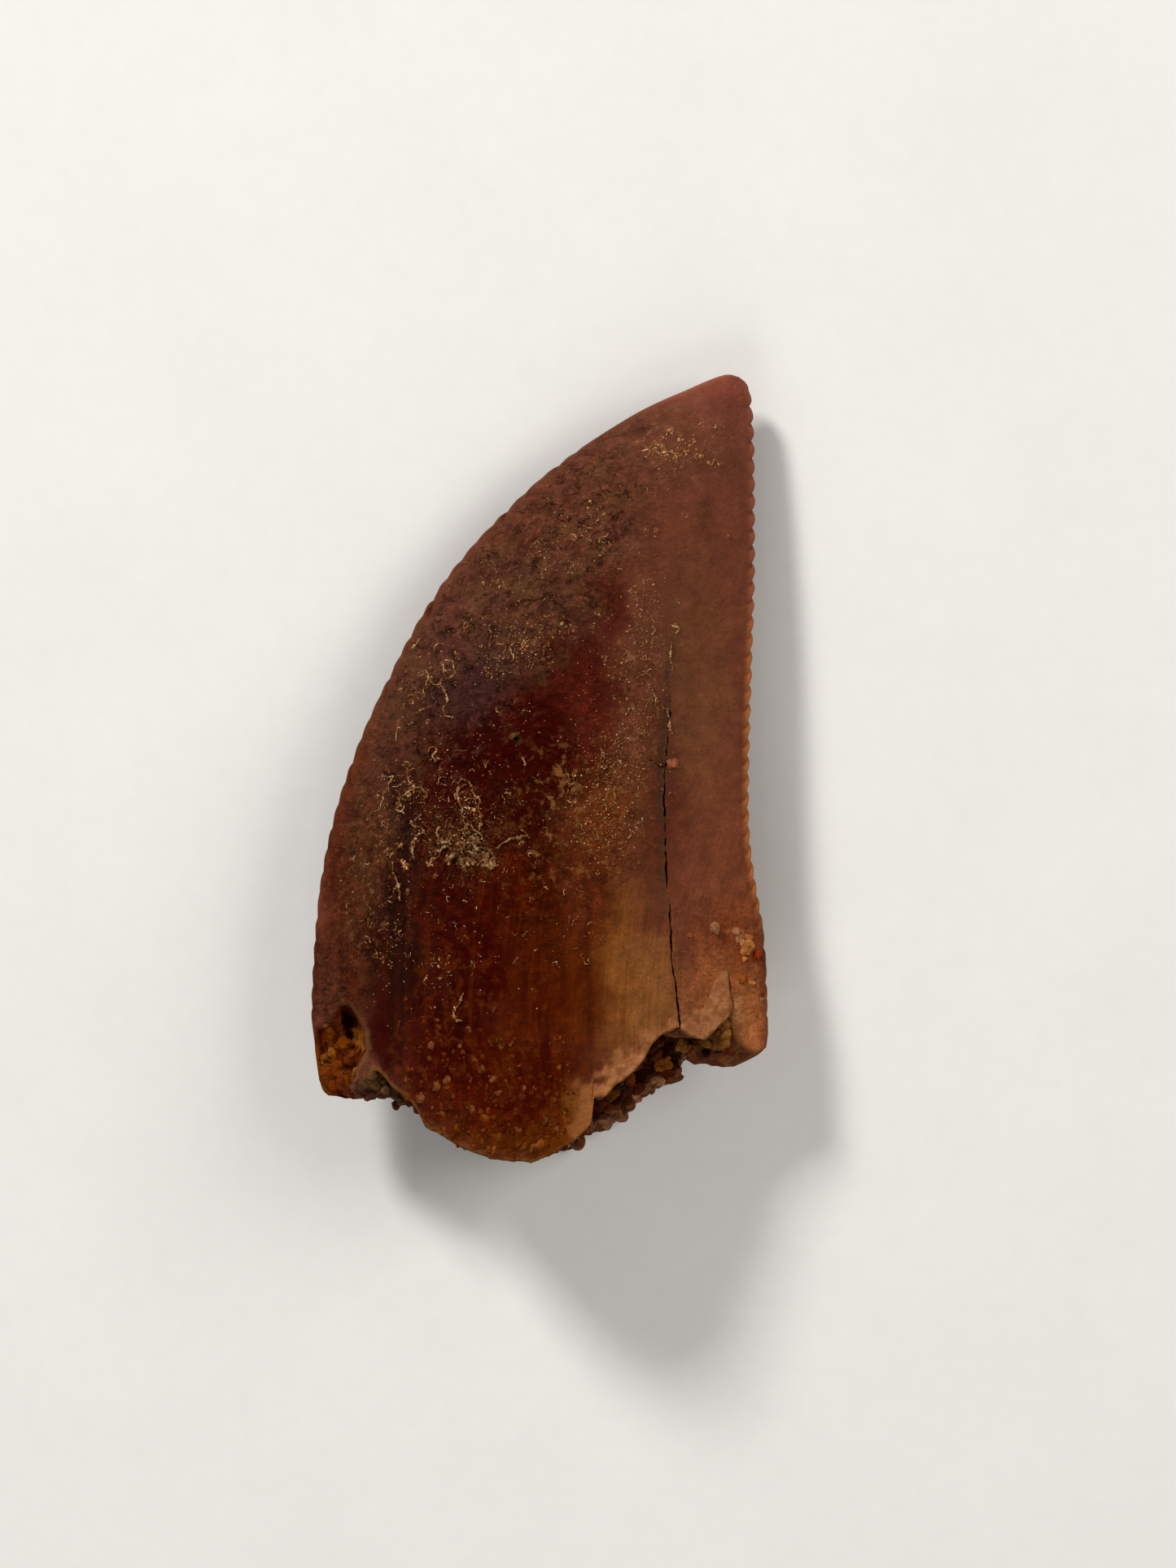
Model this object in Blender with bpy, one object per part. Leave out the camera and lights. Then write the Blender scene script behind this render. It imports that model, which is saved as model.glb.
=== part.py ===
"""A serrated fossil tooth lying on its side, with the sandstone that fills its pulp cavity.

The tooth lies on its flattened lower face at z = 0. Its tip points to +Y, its saw-edged back to +X
and its curved front to -X. Lengths are in millimetres until the meshes are made, which are in metres.
"""

import math

import bmesh
import bpy
import numpy as np
from mathutils import Matrix, Vector, noise

MM = 0.001

# The two cutting edges, from below the broken base to the tip, as X and Y
FRONT_EDGE = [
    (-5.90, -10.80), (-6.01, -7.70), (-6.12, -6.24), (-5.90, -3.20), (-5.35, -0.70), (-4.31, 1.92),
    (-2.60, 5.00), (-0.17, 7.63), (2.30, 9.39), (4.08, 10.26), (4.96, 10.61), (5.37, 10.56),
]
BACK_EDGE = [
    (6.14, -10.80), (6.10, -7.00), (6.01, -4.61), (5.66, -2.22), (5.61, -0.26), (5.70, 2.80),
    (5.78, 5.32), (5.78, 8.41), (5.73, 9.73), (5.60, 10.32), (5.37, 10.56),
]

# Where the wall breaks off, as X and Y along each face, read from the front edge to the back edge
UPPER_BREAK = [
    (-6.12, -7.17), (-5.95, -8.20), (-5.75, -8.70), (-4.87, -8.62), (-4.42, -8.02), (-3.93, -8.39),
    (-3.21, -9.02), (-2.99, -9.46), (-1.95, -10.01), (-1.21, -10.26), (-0.21, -10.32), (0.97, -9.72),
    (1.36, -9.35), (1.40, -8.65), (2.00, -8.36), (2.97, -7.31), (3.66, -6.89), (4.40, -7.24),
    (5.08, -6.55), (5.32, -7.24), (5.82, -7.63), (6.05, -7.47), (6.14, -6.83),
]
LOWER_BREAK = [
    (-6.12, -7.17), (-5.80, -8.65), (-4.87, -8.65), (-4.21, -8.89), (-3.32, -9.15), (-2.60, -9.72),
    (-1.95, -10.07), (-1.21, -10.28), (-0.21, -10.40), (0.10, -10.54), (1.01, -10.33), (1.14, -9.93),
    (2.28, -9.60), (2.53, -9.04), (3.61, -8.48), (3.77, -7.91), (4.13, -7.65), (4.75, -7.85),
    (5.18, -8.04), (5.77, -7.74), (6.05, -7.48), (6.14, -6.83),
]
# The lower outline of the sandstone, a little inside the lower wall
FILL_BREAK = [
    (-5.73, -8.32), (-4.86, -8.40), (-4.21, -8.64), (-3.32, -8.90), (-2.60, -9.46), (-1.95, -9.82),
    (-1.21, -10.05), (-0.21, -10.16), (0.90, -10.10), (1.05, -9.72), (2.18, -9.36), (2.42, -8.86),
    (3.45, -8.28), (3.62, -7.78), (4.10, -7.44), (4.75, -7.62), (5.25, -7.80),
]
BREAK_SEARCH = np.linspace(0, 0.35, 141)  # shares of the height in which every break lies

# Columns of faces across each face of the blade, as shares of its width from the front edge
UPPER_COLUMNS = [
    0.045, 0.095, 0.13, 0.17, 0.235, 0.25, 0.37, 0.48, 0.575, 0.607, 0.618, 0.665, 0.74, 0.793, 0.803,
    0.813, 0.86, 0.915, 0.935, 0.965,
]
LOWER_COLUMNS = [
    0.045, 0.10, 0.16, 0.23, 0.33, 0.43, 0.505, 0.58, 0.592, 0.685, 0.71, 0.795, 0.84, 0.92, 0.965,
]

# Thickness: each face bulges by a share of half the blade's width, from base to tip
UPPER_BULGE = 0.47
LOWER_BULGE = 0.42
UPPER_LEAN = 0.87          # under 1 moves the upper face's crest towards the front edge
LOWER_LEAN = 1.0
WEDGE_SHARE = 0.62         # the rest of the section is flared, which makes the thin edges
EDGE_HEIGHT = 2.30         # the cutting edges above the ground at the base
EDGE_DROP_STRAIGHT = 0.20  # and how far the tip curves down from there
EDGE_DROP_CURVED = 1.10

# Serrations
DENTICLES = 38             # on each edge, from break to tip
DENTICLE_DEPTH_BACK = 0.11
DENTICLE_DEPTH_FRONT = 0.07
DENTICLE_ROUNDNESS = 0.6   # under 1 gives round crowns and narrow notches
ROWS_IN_A_DENTICLE = (0.0, 0.3, 0.7)
BACK_SERRATED = (0.02, 0.985)   # shares of the height that carry serrations
FRONT_SERRATED = (0.10, 0.80)

# The pulp cavity and its filling
WALL = 0.45                # wall thickness at the break, through a face
EDGE_WALL = 1.15           # and from a cutting edge inwards
CAVITY_TOP = 0.46          # share of the height where the cavity closes
CAVITY_ROWS = 7
CAVITY_TAPER = 2.4         # over 2 keeps the cavity wide until near its top
ROOF_SHARE = 0.985         # how near to the closing height the last ring of a cavity comes
FILL_GAP = 0.15
FILL_EDGE_GAP = 0.35
FILL_TOP = 0.43
FILL_ROWS = 8
FILL_END_RINGS = (0.22, 0.42, 0.60, 0.76, 0.90)
FILL_LUMP = 0.17           # height of the sand lumps on the broken end
FILL_LUMPS_PER_MM = 1.9

# Damage to the upper face
CRACK_COLUMN = 0.803
CRACK_PATH = [             # share of the height, share of the width
    (0.17, 0.807), (0.25, 0.788), (0.41, 0.784), (0.48, 0.774), (0.55, 0.765), (0.60, 0.747),
]
CRACK_DEPTH = 0.13
CRACK_TOP = 0.59           # share of the height where the crack ends
CRACK_FADE = 0.12
CHIP_CENTRE = (-5.35, -7.05)
CHIP_RADII = (0.75, 1.15)
CHIP_DEPTH = 0.38
CHIP_STEEPNESS = 1.4

# The largest sand grains stuck to the upper face: X, Y and radius
GRAINS = [
    (4.66, -4.30, 0.24), (5.42, -4.72, 0.27), (5.18, -4.40, 0.17), (-2.58, -8.33, 0.24),
    (-5.45, -7.66, 0.28), (3.53, 0.13, 0.21),
]
GRAIN_SHAPE = (1.0, 0.82, 0.75)  # length, width and height as shares of the radius
GRAIN_SINK = 0.35          # share of its radius that a grain is sunk
GRAIN_TURN = 1.1           # radians from one grain to the next
GRAIN_TILT = 0.3

ENAMEL_COLOUR = (0.130, 0.046, 0.021)
SANDSTONE_COLOUR = (0.105, 0.055, 0.030)


def curve_through(points, steps=24):
    """Points along a Catmull-Rom curve through the given ones."""
    given = np.array(points)
    padded = np.vstack([2 * given[0] - given[1], given, 2 * given[-1] - given[-2]])
    t = np.linspace(0, 1, steps, endpoint=False)[:, None]
    runs = []
    for a, b, c, d in zip(padded, padded[1:], padded[2:], padded[3:]):
        runs.append(
            0.5 * (2 * b + (c - a) * t + (2 * a - 5 * b + 4 * c - d) * t**2
                   + (3 * b - a - 3 * c + d) * t**3)
        )
    return np.vstack(runs + [given[-1:]])


class Edge:
    """A cutting edge, read by its share of length from the base line to the tip."""

    def __init__(self, points):
        self.points = curve_through(points)
        steps = np.linalg.norm(np.diff(self.points, axis=0), axis=1)
        self.share = np.concatenate([[0], np.cumsum(steps)]) / steps.sum()

    def at(self, height):
        return np.stack(
            [np.interp(height, self.share, self.points[:, axis]) for axis in (0, 1)], axis=-1
        )


front_edge = Edge(FRONT_EDGE)
back_edge = Edge(BACK_EDGE)


def edge_level(height):
    """Height of the cutting edges above the ground: the crown curves down towards its tip."""
    return EDGE_HEIGHT - EDGE_DROP_STRAIGHT * height - EDGE_DROP_CURVED * height**2


def beside_crack(across, height):
    """Shares of the width, with the columns moved so that CRACK_COLUMN follows the crack."""
    path = np.interp(height, *np.array(CRACK_PATH).T)
    in_front = across * path / CRACK_COLUMN
    behind = 1 - (1 - across) * (1 - path) / (1 - CRACK_COLUMN)
    return np.where(across < CRACK_COLUMN, in_front, behind)


def section(share, side):
    """A face's swelling, 1 at its crest and 0 at each edge: a parabola mixed with a flared cosine."""
    q = 2 * share ** np.where(side > 0, UPPER_LEAN, LOWER_LEAN) - 1
    return WEDGE_SHARE * (1 - q**2) + (1 - WEDGE_SHARE) * np.cos(math.pi * q / 2) ** 2


def bulge_at(width, side):
    """How far a face's crest stands off the plane of the cutting edges."""
    return np.where(side > 0, UPPER_BULGE, LOWER_BULGE) * width / 2


def outer(height, across, side):
    """Points of the smooth crown. side is 1 on the upper face and -1 on the lower one."""
    front, back = front_edge.at(height), back_edge.at(height)
    width = np.linalg.norm(back - front, axis=-1)
    share = beside_crack(across, height)
    flat = front + (back - front) * share[..., None]
    z = edge_level(height) + side * bulge_at(width, side) * section(share, side)
    return np.concatenate([flat, np.maximum(z, 0)[..., None]], axis=-1)


def inner(height, across, side, wall, edge_wall, top):
    """Points of the cavity's wall, or of its filling: the crown's form, set in and closing upwards."""
    front, back = front_edge.at(height), back_edge.at(height)
    width = np.linalg.norm(back - front, axis=-1)
    closing = np.sqrt(np.clip(1 - (height / top) ** CAVITY_TAPER, 0, 1))
    share = beside_crack(across, height)
    narrowed = 0.5 + (share - 0.5) * (1 - 2 * edge_wall / width) * closing
    flat = front + (back - front) * narrowed[..., None]
    z = edge_level(height) + side * (bulge_at(width, side) - wall) * section(share, side) * closing
    return np.concatenate([flat, z[..., None]], axis=-1)


def ring_of_columns():
    """Across and side of each column: front edge, upper face, back edge, lower face."""
    across = np.array([0.0, *UPPER_COLUMNS, 1.0, *reversed(LOWER_COLUMNS)])
    side = np.array([1.0] * (len(UPPER_COLUMNS) + 2) + [-1.0] * len(LOWER_COLUMNS))
    return across, side


def break_heights(across, side, upper, lower, shape):
    """The share of the height at which each column meets a broken outline given as X and Y."""
    found = []
    for a, s in zip(across, side):
        points = shape(BREAK_SEARCH, np.full_like(BREAK_SEARCH, a), np.full_like(BREAK_SEARCH, s))
        outline = np.array(upper if s > 0 else lower)
        above = points[:, 1] - np.interp(points[:, 0], outline[:, 0], outline[:, 1])
        found.append(np.interp(0, above, BREAK_SEARCH))
    return np.array(found)


def scallop(phase):
    """One denticle's outline: 0 in the notches, rising steeply to a round crown of 1."""
    return np.abs(np.sin(math.pi * phase)) ** DENTICLE_ROUNDNESS


def serrate(points, rows):
    """Draws the two edge columns of the crown in at the notches between the denticles."""
    last = len(UPPER_COLUMNS) + 1
    middle = (points[:, 0, :2] + points[:, last, :2]) / 2
    for column, depth, (start, stop) in (
        (0, DENTICLE_DEPTH_FRONT, FRONT_SERRATED),
        (last, DENTICLE_DEPTH_BACK, BACK_SERRATED),
    ):
        inwards = middle - points[:, column, :2]
        inwards /= np.linalg.norm(inwards, axis=-1, keepdims=True)
        notch = depth * (1 - scallop(rows * DENTICLES)) * ((rows > start) & (rows < stop))
        points[:, column, :2] += inwards * notch[:, None]


def chip_depth(points):
    """How far the chipped front corner lies below the smooth upper face."""
    x = (points[..., 0] - CHIP_CENTRE[0]) / CHIP_RADII[0]
    y = (points[..., 1] - CHIP_CENTRE[1]) / CHIP_RADII[1]
    return CHIP_DEPTH * np.clip(CHIP_STEEPNESS * (1 - np.hypot(x, y)), 0, 1)


def damage(points, heights, across, side):
    """Presses the long crack and the chipped front corner into the upper face."""
    crack = CRACK_DEPTH * np.clip((CRACK_TOP - heights) / CRACK_FADE, 0, 1)
    in_crack = (across == CRACK_COLUMN) & (side > 0)
    on_face = (side > 0) & (across > 0) & (across < 1)
    points[..., 2] -= crack * in_crack + chip_depth(points) * on_face


def crown_rings():
    """Rings from the cavity's roof, down its wall, over the break and up the outside to the tip."""
    across, side = ring_of_columns()
    start = break_heights(across, side, UPPER_BREAK, LOWER_BREAK, outer)
    rows = np.array([(d + step) / DENTICLES for d in range(DENTICLES) for step in ROWS_IN_A_DENTICLE])
    heights = start + (1 - start) * rows[:, None]
    outside = outer(heights, np.broadcast_to(across, heights.shape), np.broadcast_to(side, heights.shape))
    damage(outside, heights, across, side)
    serrate(outside, rows)

    down = np.linspace(0, 1, CAVITY_ROWS, endpoint=False)[::-1]
    cavity_heights = start + (CAVITY_TOP * ROOF_SHARE - start) * np.sin(down * math.pi / 2)[:, None]
    cavity = inner(cavity_heights, across, side, WALL, EDGE_WALL, CAVITY_TOP)
    tip = np.append(front_edge.at(1.0), edge_level(1.0))
    return [*cavity, *outside], tip


def lumps(points):
    """Uneven height of the packed sand at each point, the same at each run."""
    return np.array([FILL_LUMP * noise.noise(Vector(p) * FILL_LUMPS_PER_MM) for p in points])


def fill_rings():
    """Rings from the middle of the sandstone's broken end, out to its rim and up to its top."""
    across, side = ring_of_columns()

    def shape(heights, columns, sides):
        return inner(heights, columns, sides, WALL + FILL_GAP, EDGE_WALL + FILL_EDGE_GAP, FILL_TOP)

    start = break_heights(across, side, UPPER_BREAK, FILL_BREAK, shape)
    up = np.sin(np.linspace(0, 1, FILL_ROWS, endpoint=False) * math.pi / 2)
    heights = start + (FILL_TOP * ROOF_SHARE - start) * up[:, None]
    body = shape(heights, across, side)

    rim = body[0]
    middle = np.array([rim[:, 0].mean(), 0, edge_level(0.0)])
    end = []
    for scale in FILL_END_RINGS:
        ring = middle + (rim - middle) * scale
        depth = (ring[:, 2] - rim[:, 2].min()) / np.ptp(rim[:, 2])
        upper = np.interp(ring[:, 0], *np.array(UPPER_BREAK).T)
        lower = np.interp(ring[:, 0], *np.array(FILL_BREAK).T)
        ring[:, 1] = lower + (upper - lower) * depth + lumps(ring)
        end.append(ring)
    pole = np.array([middle[0], end[0][:, 1].mean(), middle[2]])
    return [*end, *body], pole


def lofted(name, rings, start_point=None, end_point=None):
    """A mesh object of the rings joined in order, each end closed by a fan to a point or by one face."""
    bm = bmesh.new()
    made = [[bm.verts.new(Vector(p) * MM) for p in ring] for ring in rings]
    count = len(made[0])
    for lower, upper in zip(made, made[1:]):
        for i in range(count):
            j = (i + 1) % count
            bm.faces.new((lower[i], lower[j], upper[j], upper[i]))
    for ring, point in ((made[0], start_point), (made[-1], end_point)):
        if point is None:
            bm.faces.new(ring)
            continue
        apex = bm.verts.new(Vector(point) * MM)
        for i in range(count):
            bm.faces.new((ring[i], ring[(i + 1) % count], apex))
    bmesh.ops.triangulate(bm, faces=bm.faces[:])
    bmesh.ops.recalc_face_normals(bm, faces=bm.faces[:])
    mesh = bpy.data.meshes.new(name)
    bm.to_mesh(mesh)
    bm.free()
    return bpy.data.objects.new(name, mesh)


def upper_face_height(x, y):
    """Height of the upper face at X and Y, read from its nearest point."""
    heights, across = np.meshgrid(np.linspace(0, 1, 400), np.linspace(0, 1, 200), indexing="ij")
    points = outer(heights, across, np.ones_like(across)).reshape(-1, 3)
    nearest = points[np.hypot(points[:, 0] - x, points[:, 1] - y).argmin()]
    return nearest[2] - chip_depth(nearest)


def grain(index, x, y, radius):
    """A flattened, slightly angular sand grain, sunk a little into the upper face."""
    bm = bmesh.new()
    bmesh.ops.create_icosphere(bm, subdivisions=1, radius=radius * MM)
    z = upper_face_height(x, y) + radius * (GRAIN_SHAPE[2] - GRAIN_SINK)
    place = Matrix.Translation(Vector((x, y, z)) * MM)
    turn = Matrix.Rotation(GRAIN_TURN * index, 4, "Z") @ Matrix.Rotation(GRAIN_TILT, 4, "X")
    squash = Matrix.Diagonal((*GRAIN_SHAPE, 1.0))
    bmesh.ops.transform(bm, matrix=place @ turn @ squash, verts=bm.verts)
    mesh = bpy.data.meshes.new(f"grain_{index}")
    bm.to_mesh(mesh)
    bm.free()
    return bpy.data.objects.new(f"grain_{index}", mesh)


def fuse(body, others):
    """Joins the other shapes to the body with Boolean unions."""
    for other in others:
        other.hide_render = True
        other.display_type = "WIRE"
        modifier = body.modifiers.new(f"join {other.name}", "BOOLEAN")
        modifier.operation = "UNION"
        modifier.object = other


def material(name, colour, roughness):
    made = bpy.data.materials.new(name)
    made.use_nodes = True
    shader = made.node_tree.nodes["Principled BSDF"]
    shader.inputs["Base Color"].default_value = (*colour, 1)
    shader.inputs["Roughness"].default_value = roughness
    return made


def collection(name):
    made = bpy.data.collections.new(name)
    bpy.context.scene.collection.children.link(made)
    return made


def main():
    for old in list(bpy.data.objects):
        bpy.data.objects.remove(old)
    parts = collection("fossil_tooth")
    shapes = collection("grain_shapes")

    rings, tip = crown_rings()
    crown = lofted("tooth_crown", rings, end_point=tip)
    crown.data.materials.append(material("enamel", ENAMEL_COLOUR, 0.45))
    parts.objects.link(crown)

    grains = [grain(index, *sizes) for index, sizes in enumerate(GRAINS)]
    for one in grains:
        shapes.objects.link(one)
    fuse(crown, grains)

    rings, pole = fill_rings()
    fill = lofted("sandstone_fill", rings, start_point=pole)
    fill.data.materials.append(material("sandstone", SANDSTONE_COLOUR, 0.9))
    parts.objects.link(fill)


main()
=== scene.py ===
import itertools
import math

import bpy
import numpy as np
from mathutils.bvhtree import BVHTree
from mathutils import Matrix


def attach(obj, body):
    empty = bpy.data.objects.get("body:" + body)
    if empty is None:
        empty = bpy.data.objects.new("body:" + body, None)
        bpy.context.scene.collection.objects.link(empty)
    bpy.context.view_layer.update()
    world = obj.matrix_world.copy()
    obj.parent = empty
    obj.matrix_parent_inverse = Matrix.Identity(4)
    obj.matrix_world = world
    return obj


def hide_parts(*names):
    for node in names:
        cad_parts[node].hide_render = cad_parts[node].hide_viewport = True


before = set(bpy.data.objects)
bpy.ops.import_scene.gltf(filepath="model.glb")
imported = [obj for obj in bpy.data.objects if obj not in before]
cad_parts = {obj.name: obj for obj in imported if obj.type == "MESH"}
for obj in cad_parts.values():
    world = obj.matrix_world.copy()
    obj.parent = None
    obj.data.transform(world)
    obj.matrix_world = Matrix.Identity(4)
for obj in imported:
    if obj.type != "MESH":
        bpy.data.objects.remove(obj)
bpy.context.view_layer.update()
print("frame loaded:", sorted(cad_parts))

mm = 0.001                               # every measure below is in millimetres, as X and Y of the tooth

# The tooth's form
toothForm = {
    "frontEdge": [
        (-5.90, -10.80), (-6.01, -7.70), (-6.12, -6.24), (-5.90, -3.20), (-5.35, -0.70), (-4.31, 1.92),
        (-2.60, 5.00), (-0.17, 7.63), (2.30, 9.39), (4.08, 10.26), (4.96, 10.61), (5.37, 10.56),
    ],
    "backEdge": [
        (6.14, -10.80), (6.10, -7.00), (6.01, -4.61), (5.66, -2.22), (5.61, -0.26), (5.70, 2.80),
        (5.78, 5.32), (5.78, 8.41), (5.73, 9.73), (5.60, 10.32), (5.37, 10.56),
    ],
    "upperBreak": [                      # where the upper wall breaks off, front edge to back edge
        (-6.12, -7.17), (-5.99, -7.74), (-5.91, -8.33), (-5.80, -8.65), (-5.62, -8.78), (-5.29, -8.70),
        (-4.87, -8.62), (-4.60, -8.24), (-4.42, -8.02), (-4.22, -8.04), (-3.93, -8.39), (-3.39, -8.78),
        (-3.21, -9.02), (-2.99, -9.46), (-2.60, -9.63), (-1.95, -10.01), (-1.21, -10.26), (-0.21, -10.32),
        (0.32, -10.15), (0.97, -9.72), (1.28, -9.47), (1.39, -9.23), (1.40, -8.65), (1.72, -8.65),
        (2.00, -8.36), (2.52, -8.00), (2.80, -7.63), (2.97, -7.31), (3.25, -7.03), (3.66, -6.89),
        (4.01, -7.13), (4.40, -7.24), (4.82, -6.87), (5.05, -6.63), (5.12, -6.48), (5.16, -6.61),
        (5.32, -7.24), (5.53, -7.50), (5.82, -7.63), (6.05, -7.47), (6.14, -6.83),
    ],
    "lowerBreak": [
        (-6.12, -7.17), (-5.80, -8.65), (-5.62, -8.78), (-4.87, -8.65), (-4.21, -8.89), (-3.32, -9.15),
        (-2.60, -9.72), (-1.95, -10.07), (-1.21, -10.28), (-0.21, -10.37), (0.02, -10.54), (0.18, -10.48),
        (1.01, -10.33), (1.14, -9.93), (1.60, -9.80), (2.28, -9.60), (2.53, -9.04), (3.05, -8.72),
        (3.61, -8.48), (3.77, -7.91), (4.13, -7.65), (4.75, -7.85), (5.18, -8.04), (5.77, -7.74),
        (6.05, -7.48), (6.14, -6.83),
    ],
    "upperBulge": 0.47, "lowerBulge": 0.42,      # of half the width
    "upperLean": 0.87, "lowerLean": 1.0,         # under 1 moves the crest towards the front edge
    "wedge": 0.62,                               # the rest of the section is flared
    "edgeHeight": 2.30, "dropStraight": 0.20, "dropCurved": 1.10,
    "wall": 0.45, "edgeWall": 1.15, "cavityTop": 0.46, "cavityTaper": 2.4,
    "crackColumn": 0.803,
    "crackPath": [(0.17, 0.807), (0.25, 0.788), (0.41, 0.784), (0.48, 0.774), (0.55, 0.765), (0.60, 0.747)],
}


def curveThrough(points, steps=24):
    # Catmull-Rom: each run is a cubic whose slope at a point is half the step between its neighbours
    given = np.array(points)
    padded = np.vstack([2 * given[0] - given[1], given, 2 * given[-1] - given[-2]])
    t = np.linspace(0, 1, steps, endpoint=False)[:, None]
    runs = [
        0.5 * (2 * b + (c - a) * t + (2 * a - 5 * b + 4 * c - d) * t**2 + (3 * b - a - 3 * c + d) * t**3)
        for a, b, c, d in zip(padded, padded[1:], padded[2:], padded[3:])
    ]
    return np.vstack(runs + [given[-1:]])


def edgeTable(points):
    # an edge's points with the share of its length at each
    line = curveThrough(points)
    steps = np.linalg.norm(np.diff(line, axis=0), axis=1)
    return {"line": line, "share": np.concatenate([[0], np.cumsum(steps)]) / steps.sum()}


frontEdge = edgeTable(toothForm["frontEdge"])
backEdge = edgeTable(toothForm["backEdge"])


def edgeAt(edge, height):
    return np.stack([np.interp(height, edge["share"], edge["line"][:, axis]) for axis in (0, 1)], axis=-1)


def edgeLevel(height):                   # the blade's middle plane: a straight drop plus a curved one
    drop = toothForm["dropStraight"] * height + toothForm["dropCurved"] * height**2
    return toothForm["edgeHeight"] - drop


def besideCrack(across, height):
    # shares of the width in two straight stretches, which meet on the crack's path
    column = toothForm["crackColumn"]
    path = np.interp(height, *np.array(toothForm["crackPath"]).T)
    return np.where(across < column, across * path / column, 1 - (1 - across) * (1 - path) / (1 - column))


def section(share, side):
    # a parabola mixed with a squared cosine, 1 at the crest and 0 at both edges
    q = 2 * share ** np.where(side > 0, toothForm["upperLean"], toothForm["lowerLean"]) - 1
    return toothForm["wedge"] * (1 - q**2) + (1 - toothForm["wedge"]) * np.cos(math.pi * q / 2) ** 2


def bulgeAt(width, side):
    return np.where(side > 0, toothForm["upperBulge"], toothForm["lowerBulge"]) * width / 2


def facePoint(height, share, side):
    # along the line between the two edges at this height, lifted off it by the section
    front, back = edgeAt(frontEdge, height), edgeAt(backEdge, height)
    width = np.linalg.norm(back - front, axis=-1)
    flat = front + (back - front) * share[..., None]
    z = edgeLevel(height) + side * bulgeAt(width, side) * section(share, side)
    return np.concatenate([flat, z[..., None]], axis=-1), width


def cavityPoint(height, share, side, gap=0.0, edgeGap=0.0, top=None):
    # the face set in by the wall's thickness, narrowing as a rounded arch to its top
    front, back = edgeAt(frontEdge, height), edgeAt(backEdge, height)
    width = np.linalg.norm(back - front, axis=-1)
    top = top or toothForm["cavityTop"]
    closing = np.sqrt(np.clip(1 - (height / top) ** toothForm["cavityTaper"], 0, 1))
    narrow = (1 - 2 * (toothForm["edgeWall"] + edgeGap) / width) * closing
    flat = front + (back - front) * (0.5 + (share - 0.5) * narrow)[..., None]
    depth = bulgeAt(width, side) - toothForm["wall"] - gap
    z = edgeLevel(height) + side * depth * section(share, side) * closing
    return np.concatenate([flat, z[..., None]], axis=-1)


def findOnFace(x, y, side=1.0):
    # halves the range of heights until the line between the edges passes through each point
    low, high = np.zeros_like(x), np.ones_like(x)
    for _ in range(24):
        middle = (low + high) / 2
        front, back = edgeAt(frontEdge, middle), edgeAt(backEdge, middle)
        run = back - front
        isAbove = run[..., 0] * (y - front[..., 1]) - run[..., 1] * (x - front[..., 0]) > 0
        low, high = np.where(isAbove, middle, low), np.where(isAbove, high, middle)
    share = ((x - front[..., 0]) * run[..., 0] + (y - front[..., 1]) * run[..., 1]) / (run**2).sum(-1)
    return middle, np.clip(share, 0.001, 0.999)


# Noise and soft shapes, on whole arrays
hashPrimes = [np.uint64(prime) for prime in (73856093, 19349663, 83492791, 2654435761, 2246822519)]
lowBits = np.uint64(0xFFFFFFFF)


def valueNoise(points, seed):
    # random values at whole-number corners, blended with 3t^2 - 2t^3 between them, 0 to 1
    p, q, r, first, second = hashPrimes
    cell = np.floor(points).astype(np.int64)
    t = points - cell
    t = t * t * (3 - 2 * t)
    total = 0
    for corner in itertools.product((0, 1), repeat=3):
        c = (cell + corner).astype(np.uint64)
        n = c[..., 0] * p ^ c[..., 1] * q ^ c[..., 2] * r
        n = (n + np.uint64(seed * 7919)) * first & lowBits
        n = ((n ^ (n >> np.uint64(15))) * second) & lowBits
        n = (n ^ (n >> np.uint64(13))) & np.uint64(0xFFFFFF)
        weight = np.where(corner, t, 1 - t).prod(axis=-1)
        total = total + weight * (n / float(0xFFFFFF))
    return total


def fractalNoise(points, seed, octaves=3):
    # noise at doubling scales and halving heights, -1 to 1
    layers = [valueNoise(points * 2**k, seed + k) * 0.5**k for k in range(octaves)]
    return 2 * sum(layers) / sum(0.5**k for k in range(octaves)) - 1


def smooth(value):                       # 0 below 0, 1 above 1, eased between
    t = np.clip(value, 0, 1)
    return t * t * (3 - 2 * t)


def spot(x, y, centre, radii, turn=0.0, soft=0.5):
    # 1 inside a turned ellipse and 0 outside it, with a soft edge
    dx, dy = x - centre[0], y - centre[1]
    along = (dx * math.cos(turn) + dy * math.sin(turn)) / radii[0]
    over = (dy * math.cos(turn) - dx * math.sin(turn)) / radii[1]
    return smooth((1 + soft - np.hypot(along, over)) / (2 * soft))


def lineGap(x, y, points):
    # distance from the nearest of a line's straight stretches
    gap = np.full_like(x, 99.0)
    for (ax, ay), (bx, by) in zip(points, points[1:]):
        length2 = (bx - ax) ** 2 + (by - ay) ** 2
        t = np.clip(((x - ax) * (bx - ax) + (y - ay) * (by - ay)) / length2, 0, 1)
        gap = np.minimum(gap, np.hypot(x - ax - t * (bx - ax), y - ay - t * (by - ay)))
    return gap


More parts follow.
